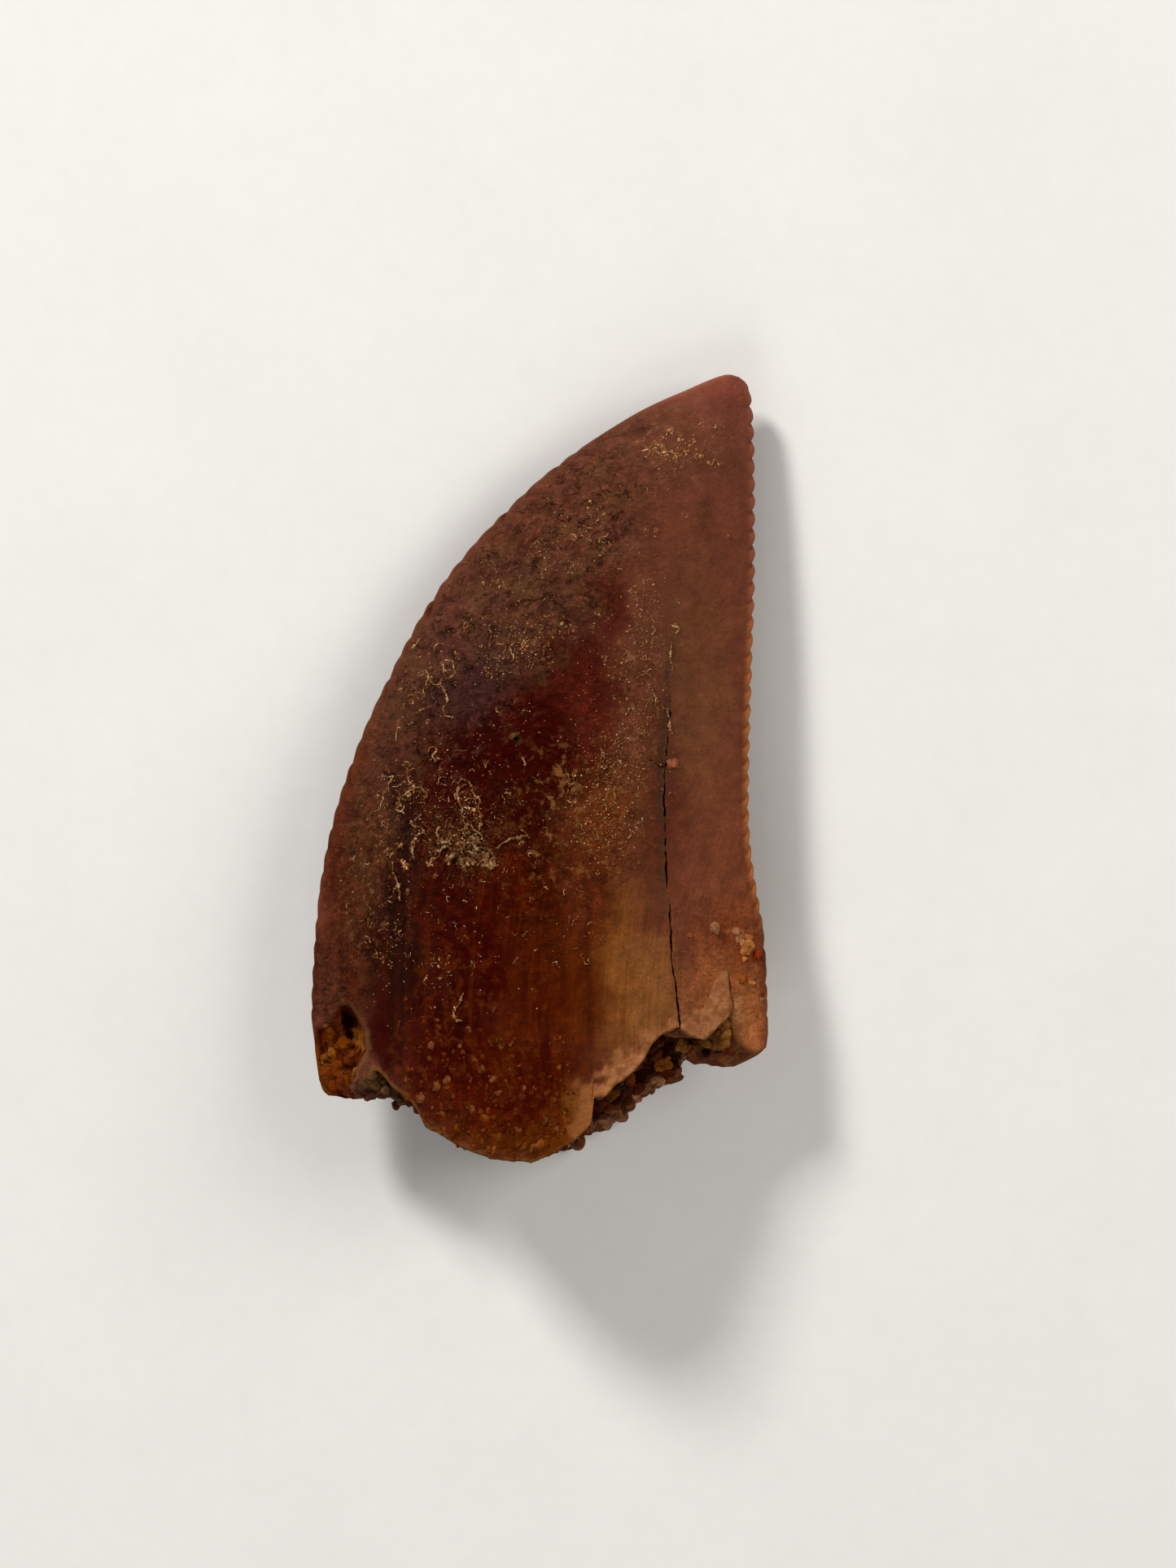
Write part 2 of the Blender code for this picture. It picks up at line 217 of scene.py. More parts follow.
# Meshes
def makeObject(name, points, faces, values=None, colours=None, sharpAbove=None):
    mesh = bpy.data.meshes.new(name)
    mesh.from_pydata((points.reshape(-1, 3) * mm).tolist(), [], faces)
    mesh.shade_smooth()
    if sharpAbove is not None:
        mesh.set_sharp_from_angle(angle=sharpAbove)
    for key, value in (values or {}).items():
        kind = "FLOAT" if value.ndim == 1 else "FLOAT_VECTOR"
        attribute = mesh.attributes.new(key, kind, "POINT")
        attribute.data.foreach_set("value" if value.ndim == 1 else "vector", value.astype(np.float32).ravel())
    if colours is not None:
        attribute = mesh.color_attributes.new("tint", "FLOAT_COLOR", "POINT")
        attribute.data.foreach_set("color", np.c_[colours, np.ones(len(colours))].astype(np.float32).ravel())
    made = bpy.data.objects.new(name, mesh)
    bpy.context.scene.collection.objects.link(made)
    return made


def ringFaces(rows, columns):
    # quads between closed rings, with the last two vertices as the poles at each end
    i = np.arange(columns)
    j = (i + 1) % columns
    row = np.arange(rows - 1)[:, None] * columns
    quads = np.stack([row + i, row + j, row + columns + j, row + columns + i], axis=-1).reshape(-1, 4)
    startPole, endPole = rows * columns, rows * columns + 1
    last = (rows - 1) * columns
    startCap = np.stack([j, i, np.full(columns, startPole)], axis=-1)
    endCap = np.stack([last + i, last + j, np.full(columns, endPole)], axis=-1)
    return quads.tolist() + startCap.tolist() + endCap.tolist()


# The crown
crownLook = {
    "upperColumns": [                    # from, to and how many, closest at the crack and the edges
        (0, 0.03, 9), (0.03, 0.10, 13), (0.10, 0.78, 128), (0.78, 0.797, 7), (0.797, 0.809, 12),
        (0.809, 0.83, 7), (0.83, 0.94, 22), (0.94, 0.975, 10), (0.975, 1, 9),
    ],
    "lowerColumns": [(0, 0.05, 8), (0.05, 0.95, 34), (0.95, 1, 8)],
    "denticles": 38, "rowsInOne": 8,
    "backDepth": 0.12, "frontDepth": 0.08,           # notches between denticles
    "backReach": 0.22, "frontReach": 0.16,           # how far their grooves run onto the faces
    "grooveDepth": 0.045, "grooveLean": 0.8, "backRoundness": 0.75, "frontRoundness": 1.1,
    "backSerrated": (0.02, 0.985), "frontSerrated": (0.04, 0.80),
    "fusedBelow": 0.20,                  # the share of the height under which the back denticles pair up
    "frontNicks": [(0.345, 1.3), (0.455, 1.1), (0.565, 2.6), (0.70, 1.4), (0.80, 1.3), (0.84, 1.2)],
    "edgeRound": 0.08,                   # radius of the blunt cutting edges
    "breakJag": {"upper": (0.030, 5.0), "lower": (0.055, 3.2)},          # size and scale of its small steps
    "crackDepth": 0.14,                  # its other values are shares of the width and of the height
    "crackWidth": 0.0012, "crackWander": 0.0036, "crackTop": 0.60,
    "crackWhole": 0.29,                  # it is shut in places above this height
    "shadedTrough": {"from": 0.28, "to": 0.66, "offset": 0.011, "depth": 0.030},           # left of the crack
    "fractureRows": 7, "cavityRows": 6,
    "hairlines": [
        [(4.99, -5.37), (5.08, -5.91), (5.16, -6.35), (5.12, -6.52)],
        [(-0.66, 4.30), (-0.49, 4.39), (-0.34, 4.43), (-0.16, 4.39), (0.01, 4.46), (0.18, 4.50)],
        [(2.90, 0.20), (3.08, 0.11), (3.23, -0.02), (3.40, 0.11)],
    ],
    "hole": {"at": (-0.60, 0.74), "radius": 0.07, "depth": 0.16, "rimRadius": 0.13, "rimHeight": 0.02},
    "wear": {                            # centre, radii, turn, softness and height of each worn place
        "flaky": ((0.2, 5.4), (2.9, 1.5), 0.75, 0.5, 0.06),
        "slanting": ((-0.9, 4.0), (1.9, 5.8), -0.6, 0.4, 0.045),
        "crusted": ((-1.95, -1.95), (0.9, 0.6), 0.3, 0.5, 0.12),
        "lumpy": ((-2.0, -8.6), (1.9, 1.2), -0.3, 0.5, 0.05),
        "hollowed": ((-3.75, -4.6), (0.20, 2.4), 0.0, 0.6, 0.05),
    },
    "chipRim": [(-5.29, -6.22), (-5.01, -6.35), (-4.76, -6.67), (-4.58, -7.02), (-4.52, -7.50),
                (-4.80, -8.00), (-4.95, -8.50), (-4.95, -8.90)],
    "chipTop": [(-6.12, -7.0), (-5.80, -6.85), (-5.50, -6.65), (-5.29, -6.25), (-4.5, -6.2)],
    "chipBlocks": 26, "chipDrop": (0.06, 0.40), "chipTilt": 0.6,
    "chipHollow": ((-4.95, -6.98), (0.20, 0.42), 0.35, 0.55),            # centre, radii, turn and depth
    "peachEdge": [(3.70, -7.6), (4.13, -6.94), (4.37, -6.30), (4.55, -5.80), (4.90, -5.36)],
}


def spread(stretches):
    # columns in stretches, each from its start up to, and without, its end
    return np.concatenate([np.linspace(a, b, n, endpoint=False) for a, b, n in stretches])


def breakLine(x, side):
    given = [np.interp(x, *np.array(toothForm[key]).T) for key in ("upperBreak", "lowerBreak")]
    return np.where(side > 0, *given)


def breakHeights(across, side, jagged=True):
    # the height at which each column first lies above the broken outline
    height = np.linspace(0, 0.35, 281)[:, None] + np.zeros_like(across)
    points, _ = facePoint(height, besideCrack(across, height), side)
    x, y = points[..., 0], points[..., 1]
    above = y - breakLine(x, side)
    if jagged:
        for key, wanted in (("upper", side > 0), ("lower", side < 0)):
            size, scale = crownLook["breakJag"][key]
            place = np.stack([x * scale, side + 0 * x, 0 * x], axis=-1)
            above = above - wanted * size * fractalNoise(place, 4, 3)
    first = np.argmax(above > 0, axis=0)
    column = np.arange(len(across))
    high, low = above[first, column], above[first - 1, column]
    step = height[1, 0] - height[0, 0]
    return height[first, column] - step * high / (high - low)


def notch(phase, strength, power):
    # 1 between two denticles, falling steeply to 0 on their round crowns
    index = np.round(phase).astype(int)
    return (1 - np.abs(np.sin(math.pi * phase)) ** power) * strength[np.clip(index, 0, len(strength) - 1)]


def serrate(points, rows, height, share, width, side):
    # draws both edges in at the notches and carries each notch onto the faces as a short groove
    random = np.random.default_rng(7)
    count = crownLook["denticles"]
    grooves = np.zeros_like(share)
    numbers = np.arange(count + 1)
    fused = numbers < crownLook["fusedBelow"] * count
    back = np.where(fused, np.where(numbers % 2, 0.85, 0.10), random.uniform(0.75, 1.1, count + 1))
    front = random.uniform(0.15, 0.9, count + 1)
    for place, strength in crownLook["frontNicks"]:
        front[int(place * count)] = strength
    towards = edgeAt(backEdge, height) - edgeAt(frontEdge, height)
    towards /= np.linalg.norm(towards, axis=-1, keepdims=True) + 1e-9
    edges = (((1 - share) * width, back, "back", -1), (share * width, front, "front", 1))
    for gap, strength, end, way in edges:
        first, last = crownLook[end + "Serrated"]
        serrated = smooth((rows - first) / 0.02) * smooth((last - rows) / 0.03)
        phase = rows[:, None] * count + crownLook["grooveLean"] * gap
        cut = notch(phase, strength, crownLook[end + "Roundness"]) * serrated[:, None]
        inward = way * crownLook[end + "Depth"] * cut * np.exp(-(gap / 0.16) ** 2)
        points[..., :2] += inward[..., None] * towards
        reach = crownLook[end + "Reach"]
        deep = crownLook["grooveDepth"] * cut * np.exp(-(gap / reach) ** 2)
        points[..., 2] -= side * deep * smooth(gap / 0.05)
        grooves = np.maximum(grooves, cut * np.exp(-(gap / reach) ** 4))
    return grooves


def chipMask(x, y):
    # behind the chip's steep rim and under its ragged top
    rim = np.array(crownLook["chipRim"][::-1])
    top = np.array(crownLook["chipTop"])
    jag = 0.06 * fractalNoise(np.stack([x, y, 0 * x], axis=-1) * 4, 21)
    fromRim = np.interp(y, rim[:, 1], rim[:, 0]) - x + jag
    fromTop = np.interp(x, top[:, 0], top[:, 1]) - y + jag
    return smooth(fromRim / 0.12) * smooth(fromTop / 0.20)


def chipFloor(x, y):
    # tilted flat blocks around scattered middles: each place belongs to the nearest one
    random = np.random.default_rng(24)
    count = crownLook["chipBlocks"]
    middles = random.uniform((-6.2, -9.0), (-4.4, -6.1), (count, 2))
    drop = random.uniform(*crownLook["chipDrop"], count)
    tilt = random.uniform(-1, 1, (count, 2)) * crownLook["chipTilt"]
    tone = random.uniform(0, 1, count)
    dx, dy = x[..., None] - middles[:, 0], y[..., None] - middles[:, 1]
    nearest = np.argmin(np.hypot(dx, 1.3 * dy), axis=-1)
    slope = dx * tilt[:, 0] + dy * tilt[:, 1]
    depth = drop[nearest] + np.take_along_axis(slope, nearest[..., None], axis=-1)[..., 0]
    centre, radii, turn, hollow = crownLook["chipHollow"]
    return np.clip(depth, 0.02, 0.5) + hollow * spot(x, y, centre, radii, turn, 0.4), tone[nearest]


def peachMask(x, y):
    # a crusted band along the upper break, widening to a three-cornered patch right of the crack
    line = [point for point in toothForm["upperBreak"] if 1.2 < point[0] < 5.14]
    ragged = fractalNoise(np.stack([x, y, 0 * x], axis=-1) * 4, 22, 3)
    reach = 0.75 - 0.38 * np.exp(-((x - 3.1) / 0.45) ** 2)
    band = smooth((reach + 0.45 * ragged - lineGap(x, y, line)) / 0.55)
    band = band * np.where(x < 3.62, 1.0, 0.8) * (0.70 + 0.30 * smooth((x - 1.0) / 0.8))
    edge, hair = np.array(crownLook["peachEdge"]), np.array(crownLook["hairlines"][0][::-1])
    inside = smooth((x - np.interp(y, edge[:, 1], edge[:, 0]) + 0.05 * ragged) / 0.06)
    inside = inside * smooth((np.interp(y, hair[:, 1], hair[:, 0]) - x) / 0.05) * smooth((-5.25 - y) / 0.2)
    return np.maximum(band, inside), band


def wearHeight(x, y, key):
    *shape, height = crownLook["wear"][key]
    return spot(x, y, *shape) * height


def relief(x, y, onTop):
    # what stands out of or into the faces by place alone: swells, flakes, lumps, the band and the hole
    place = np.stack([x, y, np.where(onTop, 1.0, -1.0) + 0 * x], axis=-1)
    lift = 0.035 * fractalNoise(place * 0.5, 1) + 0.006 * fractalNoise(place * 6, 2)
    tilted = np.stack([0.8 * x + 0.6 * y, 1.6 * (0.8 * y - 0.6 * x), 0 * x], axis=-1)
    top = wearHeight(x, y, "flaky") * np.tanh(6 * fractalNoise(tilted * 2.3, 5, 5))
    top = top + wearHeight(x, y, "slanting") * fractalNoise(place * 3.8, 7, 3)
    top = top + wearHeight(x, y, "crusted") * np.clip(fractalNoise(place * 4.2, 6, 3) + 0.1, 0, 1)
    top = top + wearHeight(x, y, "lumpy") * fractalNoise(place * 2.6, 8, 4)
    _, band = peachMask(x, y)
    top = top + band * (0.05 + 0.10 * fractalNoise(place * 3.4, 9, 4))
    top = top - wearHeight(x, y, "hollowed")
    hole = crownLook["hole"]
    away = np.hypot(x - hole["at"][0], y - hole["at"][1])
    rim = hole["rimHeight"] * np.exp(-((away - hole["rimRadius"]) / 0.05) ** 2)
    top = top + rim - hole["depth"] * np.exp(-(away / hole["radius"]) ** 2)
    return np.where(onTop, lift + top, lift)


def weather(points, height, across, share, width, side):
    # wears the smooth faces and says where the cracks, the chip and the crusted band are
    x, y = points[..., 0], points[..., 1]
    onTop = side > 0
    along = np.stack([share * width * 6, height * 9, side + 0 * x], axis=-1)
    lift = relief(x, y, onTop) + 0.010 * smooth((0.62 - height) / 0.3) * fractalNoise(along, 3)

    wander = np.stack([height * 70, 0 * x, 0 * x], axis=-1)
    fromCrack = across - toothForm["crackColumn"] + crownLook["crackWander"] * fractalNoise(wander, 11, 5)
    offCrack = np.abs(fromCrack)
    crackWidth = crownLook["crackWidth"] * np.clip(1 + 1.3 * fractalNoise(wander * 1.5, 15, 4), 0.15, 2)
    gaping = smooth((fractalNoise(wander * 1.6, 17, 5) + 0.28) / 0.38)
    gaping = np.maximum(gaping, smooth((crownLook["crackWhole"] - height) / 0.05))
    fade = smooth((crownLook["crackTop"] - height) / 0.10) * gaping * onTop
    # the shallow groove left of the crack; the finish also paints a shade into it
    shadedTrough = crownLook["shadedTrough"]
    sunken = smooth((shadedTrough["to"] - height) / 0.06) * smooth((height - shadedTrough["from"]) / 0.09) * onTop
    sunken = sunken * np.exp(-((fromCrack + 0.8 * shadedTrough["offset"]) / shadedTrough["offset"]) ** 2)
    sunken = sunken * np.clip(0.85 + 1.3 * fractalNoise(wander * 0.7, 18, 4), 0.2, 1.1)
    lift = lift - shadedTrough["depth"] * sunken
    lift = lift - crownLook["crackDepth"] * fade * np.exp(-(offCrack / crackWidth) ** 2)
    hairGap = np.full_like(x, 99.0)
    shaken = x + 0.015 * fractalNoise(np.stack([x, y, 0 * x], axis=-1) * 9, 12)
    for line in crownLook["hairlines"]:
        hairGap = np.minimum(hairGap, lineGap(shaken, y, line))
    hairGap = np.where(onTop, hairGap, 99.0)
    lift = lift - 0.06 * np.exp(-(hairGap / 0.04) ** 2)

    thickness = (toothForm["upperBulge"] + toothForm["lowerBulge"]) * width / 2 * section(share, side)
    chip = chipMask(x, y) * onTop
    floor, tone = chipFloor(x, y)
    rimRidge = 0.05 * np.exp(-(lineGap(x, y, crownLook["chipRim"]) / 0.09) ** 2) * onTop
    lift = (lift + rimRidge) * (1 - chip) - chip * np.minimum(floor, 0.7 * thickness)

    gap = np.minimum(share, 1 - share) * width
    radius = crownLook["edgeRound"]
    blunt = radius * np.sqrt(1 - (1 - np.clip(gap / radius / 1.4, 0, 1)) ** 2) * np.exp(-gap / 1.2)
    points[..., 2] += side * blunt + np.where(onTop, lift, -lift) * smooth(gap / 0.25)
    peach, _ = peachMask(x, y)
    return {
        "crack": fade * smooth(1.7 - offCrack / crackWidth), "shadedTrough": sunken,
        "hairGap": np.minimum(hairGap, 1.0),
        "chip": chip, "block": tone, "edgeGap": gap, "peach": peach * onTop,
        "ridge": np.exp(-(lineGap(x, y, crownLook["chipRim"]) / 0.07) ** 2) * onTop,
    }


def buildCrown():
    upper = spread(crownLook["upperColumns"])
    lower = spread(crownLook["lowerColumns"])
    across = np.concatenate([upper, 1 - lower])
    side = np.concatenate([np.ones(len(upper)), -np.ones(len(lower))])
    start = breakHeights(across, side)
    rowCount = crownLook["denticles"] * crownLook["rowsInOne"]
    rows = np.arange(rowCount) / rowCount
    height = start + (1 - start) * rows[:, None]
    share = besideCrack(across, height)
    outside, width = facePoint(height, share, side)
    masks = weather(outside, height, np.broadcast_to(across, height.shape), share, width, side)
    masks["groove"] = serrate(outside, rows, height, share, width, side)
    masks["rimGap"] = (height - start) * 21
    outside[..., 2] = np.maximum(outside[..., 2], 0)       # it lies on the flat of its lower face

    down = np.sin(np.linspace(0, 1, crownLook["cavityRows"], endpoint=False)[::-1] * math.pi / 2)
    cavityHeight = start + (toothForm["cavityTop"] * 0.98 - start) * down[:, None]
    cavity = cavityPoint(cavityHeight, besideCrack(across, cavityHeight), side)
    t = (np.arange(1, crownLook["fractureRows"]) / crownLook["fractureRows"])[:, None, None]
    fracture = cavity[-1] * (1 - t) + outside[0] * t
    bump = fractalNoise(fracture * 3.5, 14)[..., None] * np.sin(math.pi * t)
    fracture = fracture + bump * np.array([0.05, 0.14, 0.05])

    rings = np.concatenate([cavity, fracture, outside])
    poles = np.array([rings[0].mean(axis=0), [*edgeAt(frontEdge, np.array(1.0)), edgeLevel(1.0)]])
    inner = len(cavity) + len(fracture)
    columns = len(across)

    def overAll(outsideValues, insideValues):
        whole = np.concatenate([insideValues, outsideValues.reshape(len(outside), columns, -1)])
        flat = whole.reshape(len(rings) * columns, -1)
        return np.vstack([flat, flat[:1], flat[-1:]]).squeeze()

    values = {key: overAll(value, np.zeros((inner, columns, 1))) for key, value in masks.items()}
    wallShare = np.concatenate([np.zeros((len(cavity), 1)), t[:, :, 0]]) + np.zeros((1, columns))
    values["wallShare"] = overAll(np.ones_like(share), wallShare[..., None])
    values["broken"] = overAll(np.zeros_like(share), np.ones((inner, columns, 1)))
    follow = np.stack([share * width, height * 21, side + 0 * share], axis=-1)
    values["along"] = overAll(follow, np.zeros((inner, columns, 3)))
    points = np.vstack([rings.reshape(-1, 3), poles])
    return makeObject("crown_surface", points, ringFaces(len(rings), columns), values)


crown = buildCrown()
print("crown:", len(crown.data.polygons), "faces")


def faceHeight(x, y):                    # the upper face's height at each X and Y
    height, share = findOnFace(x, y)
    points, _ = facePoint(height, share, np.ones_like(x))
    floor, _ = chipFloor(x, y)
    return points[..., 2] + relief(x, y, True) - chipMask(x, y) * floor


def wallInside(x, y, side):              # the inner face's height at each X and Y
    height, share = findOnFace(x, y)
    front, back = edgeAt(frontEdge, height), edgeAt(backEdge, height)
    width = np.linalg.norm(back - front, axis=-1)
    inShare = np.clip(0.5 + (share - 0.5) / (1 - 2 * toothForm["edgeWall"] / width), 0, 1)
    return edgeLevel(height) + side * (bulgeAt(width, side) - toothForm["wall"]) * section(inShare, side)


# Grains: sand, crumbs and specks
def grainShapes(centres, radii, seed, segments, rings, flat, facets, stretch=(0.75, 1.15)):
    # unit spheres on a grid, stretched, cut back by a few random planes each and turned at random
    random = np.random.default_rng(seed)
    count = len(centres)
    polar = np.linspace(0, math.pi, rings + 2)[1:-1, None]
    turn = np.linspace(0, 2 * math.pi, segments, endpoint=False)
    ball = [np.sin(polar) * np.cos(turn), np.sin(polar) * np.sin(turn), np.cos(polar) + 0 * turn]
    ball = np.vstack([np.stack(ball, axis=-1).reshape(-1, 3), [[0, 0, 1], [0, 0, -1]]])
    shapes = np.repeat(ball[None], count, axis=0)
    for _ in range(facets):
        normal = random.normal(size=(count, 3))
        normal /= np.linalg.norm(normal, axis=1, keepdims=True)
        limit = random.uniform(0.45, 0.80, (count, 1))
        over = np.clip(np.einsum("npk,nk->np", shapes, normal) - limit, 0, None)
        shapes = shapes - over[..., None] * normal[:, None]
    shapes = shapes * random.uniform(*stretch, (count, 1, 3))
    turns, _ = np.linalg.qr(random.normal(size=(count, 3, 3)))
    turns *= np.sign(np.linalg.det(turns))[:, None, None]
    shapes = np.einsum("nij,npj->npi", turns, shapes) * [1, 1, flat]
    points = shapes * np.array(radii)[:, None, None] + np.array(centres)[:, None]
    single = ringFaces(rings, segments)
    faces = [[corner + copy * len(ball) for corner in face[::-1]] for copy in range(count) for face in single]
    return points.reshape(-1, 3), faces, len(ball)


def grainPiece(name, centres, radii, colours, seed, foot=None, **shape):
    # a grain with a foot colour is half buried: it takes that colour where it meets the ground
    points, faces, each = grainShapes(centres, radii, seed, **shape)
    colours = np.repeat(colours, each, axis=0)
    if foot is not None:
        above = (points[:, 2] - np.repeat(centres[:, 2], each)) / np.repeat(radii, each)
        share = 0.8 * smooth((above - 0.15) / 0.24)[:, None]
        colours = colours * share + np.repeat(foot, each, axis=0) * (1 - share)
    return makeObject(name, points, faces, colours=colours, sharpAbove=0.5 if foot is None else 1.3)


# The sandstone in the broken base
sandstone = {
    "gap": 0.02, "edgeGap": 0.05, "top": 0.43,
    "endRings": 26, "bodyRows": 8, "columns": 150,
    "recess": (0.24, 0.16),              # how far its end lies behind the lower and the upper break
    "lump": 0.14, "grainStep": 0.31, "grainRadius": (0.14, 0.25), "rimRadius": (0.20, 0.30),
    "rimRows": [(0.16, 0.20, 1.0), (0.34, 0.22, 0.9)],       # distance inward, spacing, share of radius
    "rimClear": 0.42,
    "colours": [
        (0.060, 0.012, 0.003), (0.020, 0.003, 0.001), (0.120, 0.034, 0.005),
        (0.080, 0.016, 0.004), (0.100, 0.042, 0.016), (0.040, 0.007, 0.002),
    ],
    "shares": [0.26, 0.24, 0.13, 0.17, 0.08, 0.12],
    "rimColours": [
        (0.170, 0.066, 0.030), (0.120, 0.040, 0.015), (0.220, 0.092, 0.044), (0.130, 0.034, 0.009),
    ],
    "packed": {"segments": 9, "rings": 5, "flat": 1.0, "facets": 9},     # the grains' shapes
    "rim": {"segments": 14, "rings": 9, "flat": 0.8, "facets": 5},
}


def sandEnd(x, z):
    # from behind the lower break to behind the upper one, in a step halfway up the cavity
    upper, lower = breakLine(x, 1.0), breakLine(x, -1.0)
    y = np.maximum(lower, -9.9)
    roof, floor = wallInside(x, y, 1.0), wallInside(x, y, -1.0)
    depth = np.clip((z - floor) / np.maximum(roof - floor, 0.05), 0, 1)
    low, high = sandstone["recess"]
    return lower + low + (upper + high - lower - low) * smooth((depth - 0.25) / 0.6)


def buildSandstone():
    columns = sandstone["columns"]
    turn = np.linspace(0, 1, columns, endpoint=False)
    across = np.where(turn < 0.5, 2 * turn, 2 - 2 * turn)
    side = np.where(turn < 0.5, 1.0, -1.0)
    start = breakHeights(across, side, jagged=False) + 0.02
    up = np.sin(np.linspace(0, 1, sandstone["bodyRows"], endpoint=False) * math.pi / 2)
    height = start + (sandstone["top"] * 0.98 - start) * up[:, None]
    share = besideCrack(across, height)
    body = cavityPoint(height, share, side, sandstone["gap"], sandstone["edgeGap"], sandstone["top"])
    rim = body[0]
    middle = np.array([rim[:, 0].mean(), 0, edgeLevel(0.1)])
    scale = np.linspace(0.04, 1, sandstone["endRings"])[:, None, None]
    end = middle + (rim - middle) * scale
    x, z = end[..., 0], end[..., 2]
    end[..., 1] = sandEnd(x, z) + sandstone["lump"] * fractalNoise(end * [2.2, 0, 2.2], 41)
    rings = np.concatenate([end, body[1:]])
    poles = np.array([end[0].mean(axis=0), body[-1].mean(axis=0)])
    points = np.vstack([rings.reshape(-1, 3), poles])
    return makeObject("sandstone_body", points, ringFaces(len(rings), columns))


def pickColours(random, choices, count, shares=None):
    picked = random.choice(len(choices), count, p=shares)
    return np.array(choices)[picked] * random.uniform(0.7, 1.35, (count, 1))


def buildPackedGrains():
    # a jittered triangular lattice over the cavity's mouth, kept where it lies inside the walls
    random = np.random.default_rng(43)
    step = sandstone["grainStep"]
    row, column = np.mgrid[0:19, 0:39]
    x = (column * step - 5.6 + (row % 2) * step / 2).ravel()
    z = (row * step * 0.87 + 0.3).ravel()
    x = x + random.uniform(-0.08, 0.08, len(x))
    z = z + random.uniform(-0.08, 0.08, len(z))
    y = sandEnd(x, z)
    height, share = findOnFace(x, np.maximum(y, -9.9))
    width = np.linalg.norm(edgeAt(backEdge, height) - edgeAt(frontEdge, height), axis=-1)
    beside = np.minimum(share, 1 - share) * width
    above = z - wallInside(x, np.maximum(y, -9.9), -1.0)
    below = wallInside(x, np.maximum(y, -9.9), 1.0) - z
    kept = (beside > toothForm["edgeWall"]) & (above > 0.02) & (below > 0.02)
    kept &= (x < 0) | (y > breakLine(x, -1.0) + sandstone["rimClear"])
    count = kept.sum()
    centres = np.c_[x, y - random.uniform(-0.04, 0.10, len(x)), z][kept]
    radii = random.uniform(*sandstone["grainRadius"], count)
    colours = pickColours(random, sandstone["colours"], count, sandstone["shares"])
    return grainPiece("packed_grains", centres, radii, colours, 44, **sandstone["packed"])


def buildRimGrains():
    # overlapping grains cemented into a pale band along the lower wall's broken edge
    random = np.random.default_rng(45)
    rows = []
    for inward, spacing, share in sandstone["rimRows"]:
        x = np.arange(0.35, 4.0, spacing)
        x = x + random.uniform(-0.3, 0.3, len(x)) * spacing
        radii = random.uniform(*sandstone["rimRadius"], len(x)) * share
        rows.append(np.c_[x, breakLine(x, -1.0) + inward + random.uniform(-0.04, 0.04, len(x)), radii])
    x, y, radii = np.concatenate(rows).T
    z = np.maximum(topOf([crown, sandBody], x, y) - 0.3 * radii, 0.8 * radii)
    colours = pickColours(random, sandstone["rimColours"], len(x))
    return grainPiece("rim_grains", np.c_[x, y, z], radii, colours, 46, **sandstone["rim"])


def topOf(pieces, x, y):                 # the highest surface of the pieces under each X and Y
    trees = [BVHTree.FromObject(piece, bpy.context.evaluated_depsgraph_get()) for piece in pieces]
    heights = []
    for place in zip(x * mm, y * mm):
        hits = [tree.ray_cast((*place, 0.01), (0, 0, -1))[0] for tree in trees]
        heights.append(max((hit.z / mm for hit in hits if hit is not None), default=0.2))
    return np.array(heights)


sandBody = buildSandstone()
packedGrains = buildPackedGrains()
rimGrains = buildRimGrains()
print("sandstone:", len(sandBody.data.polygons), "faces and",
      len(packedGrains.data.polygons) + len(rimGrains.data.polygons), "on its grains")

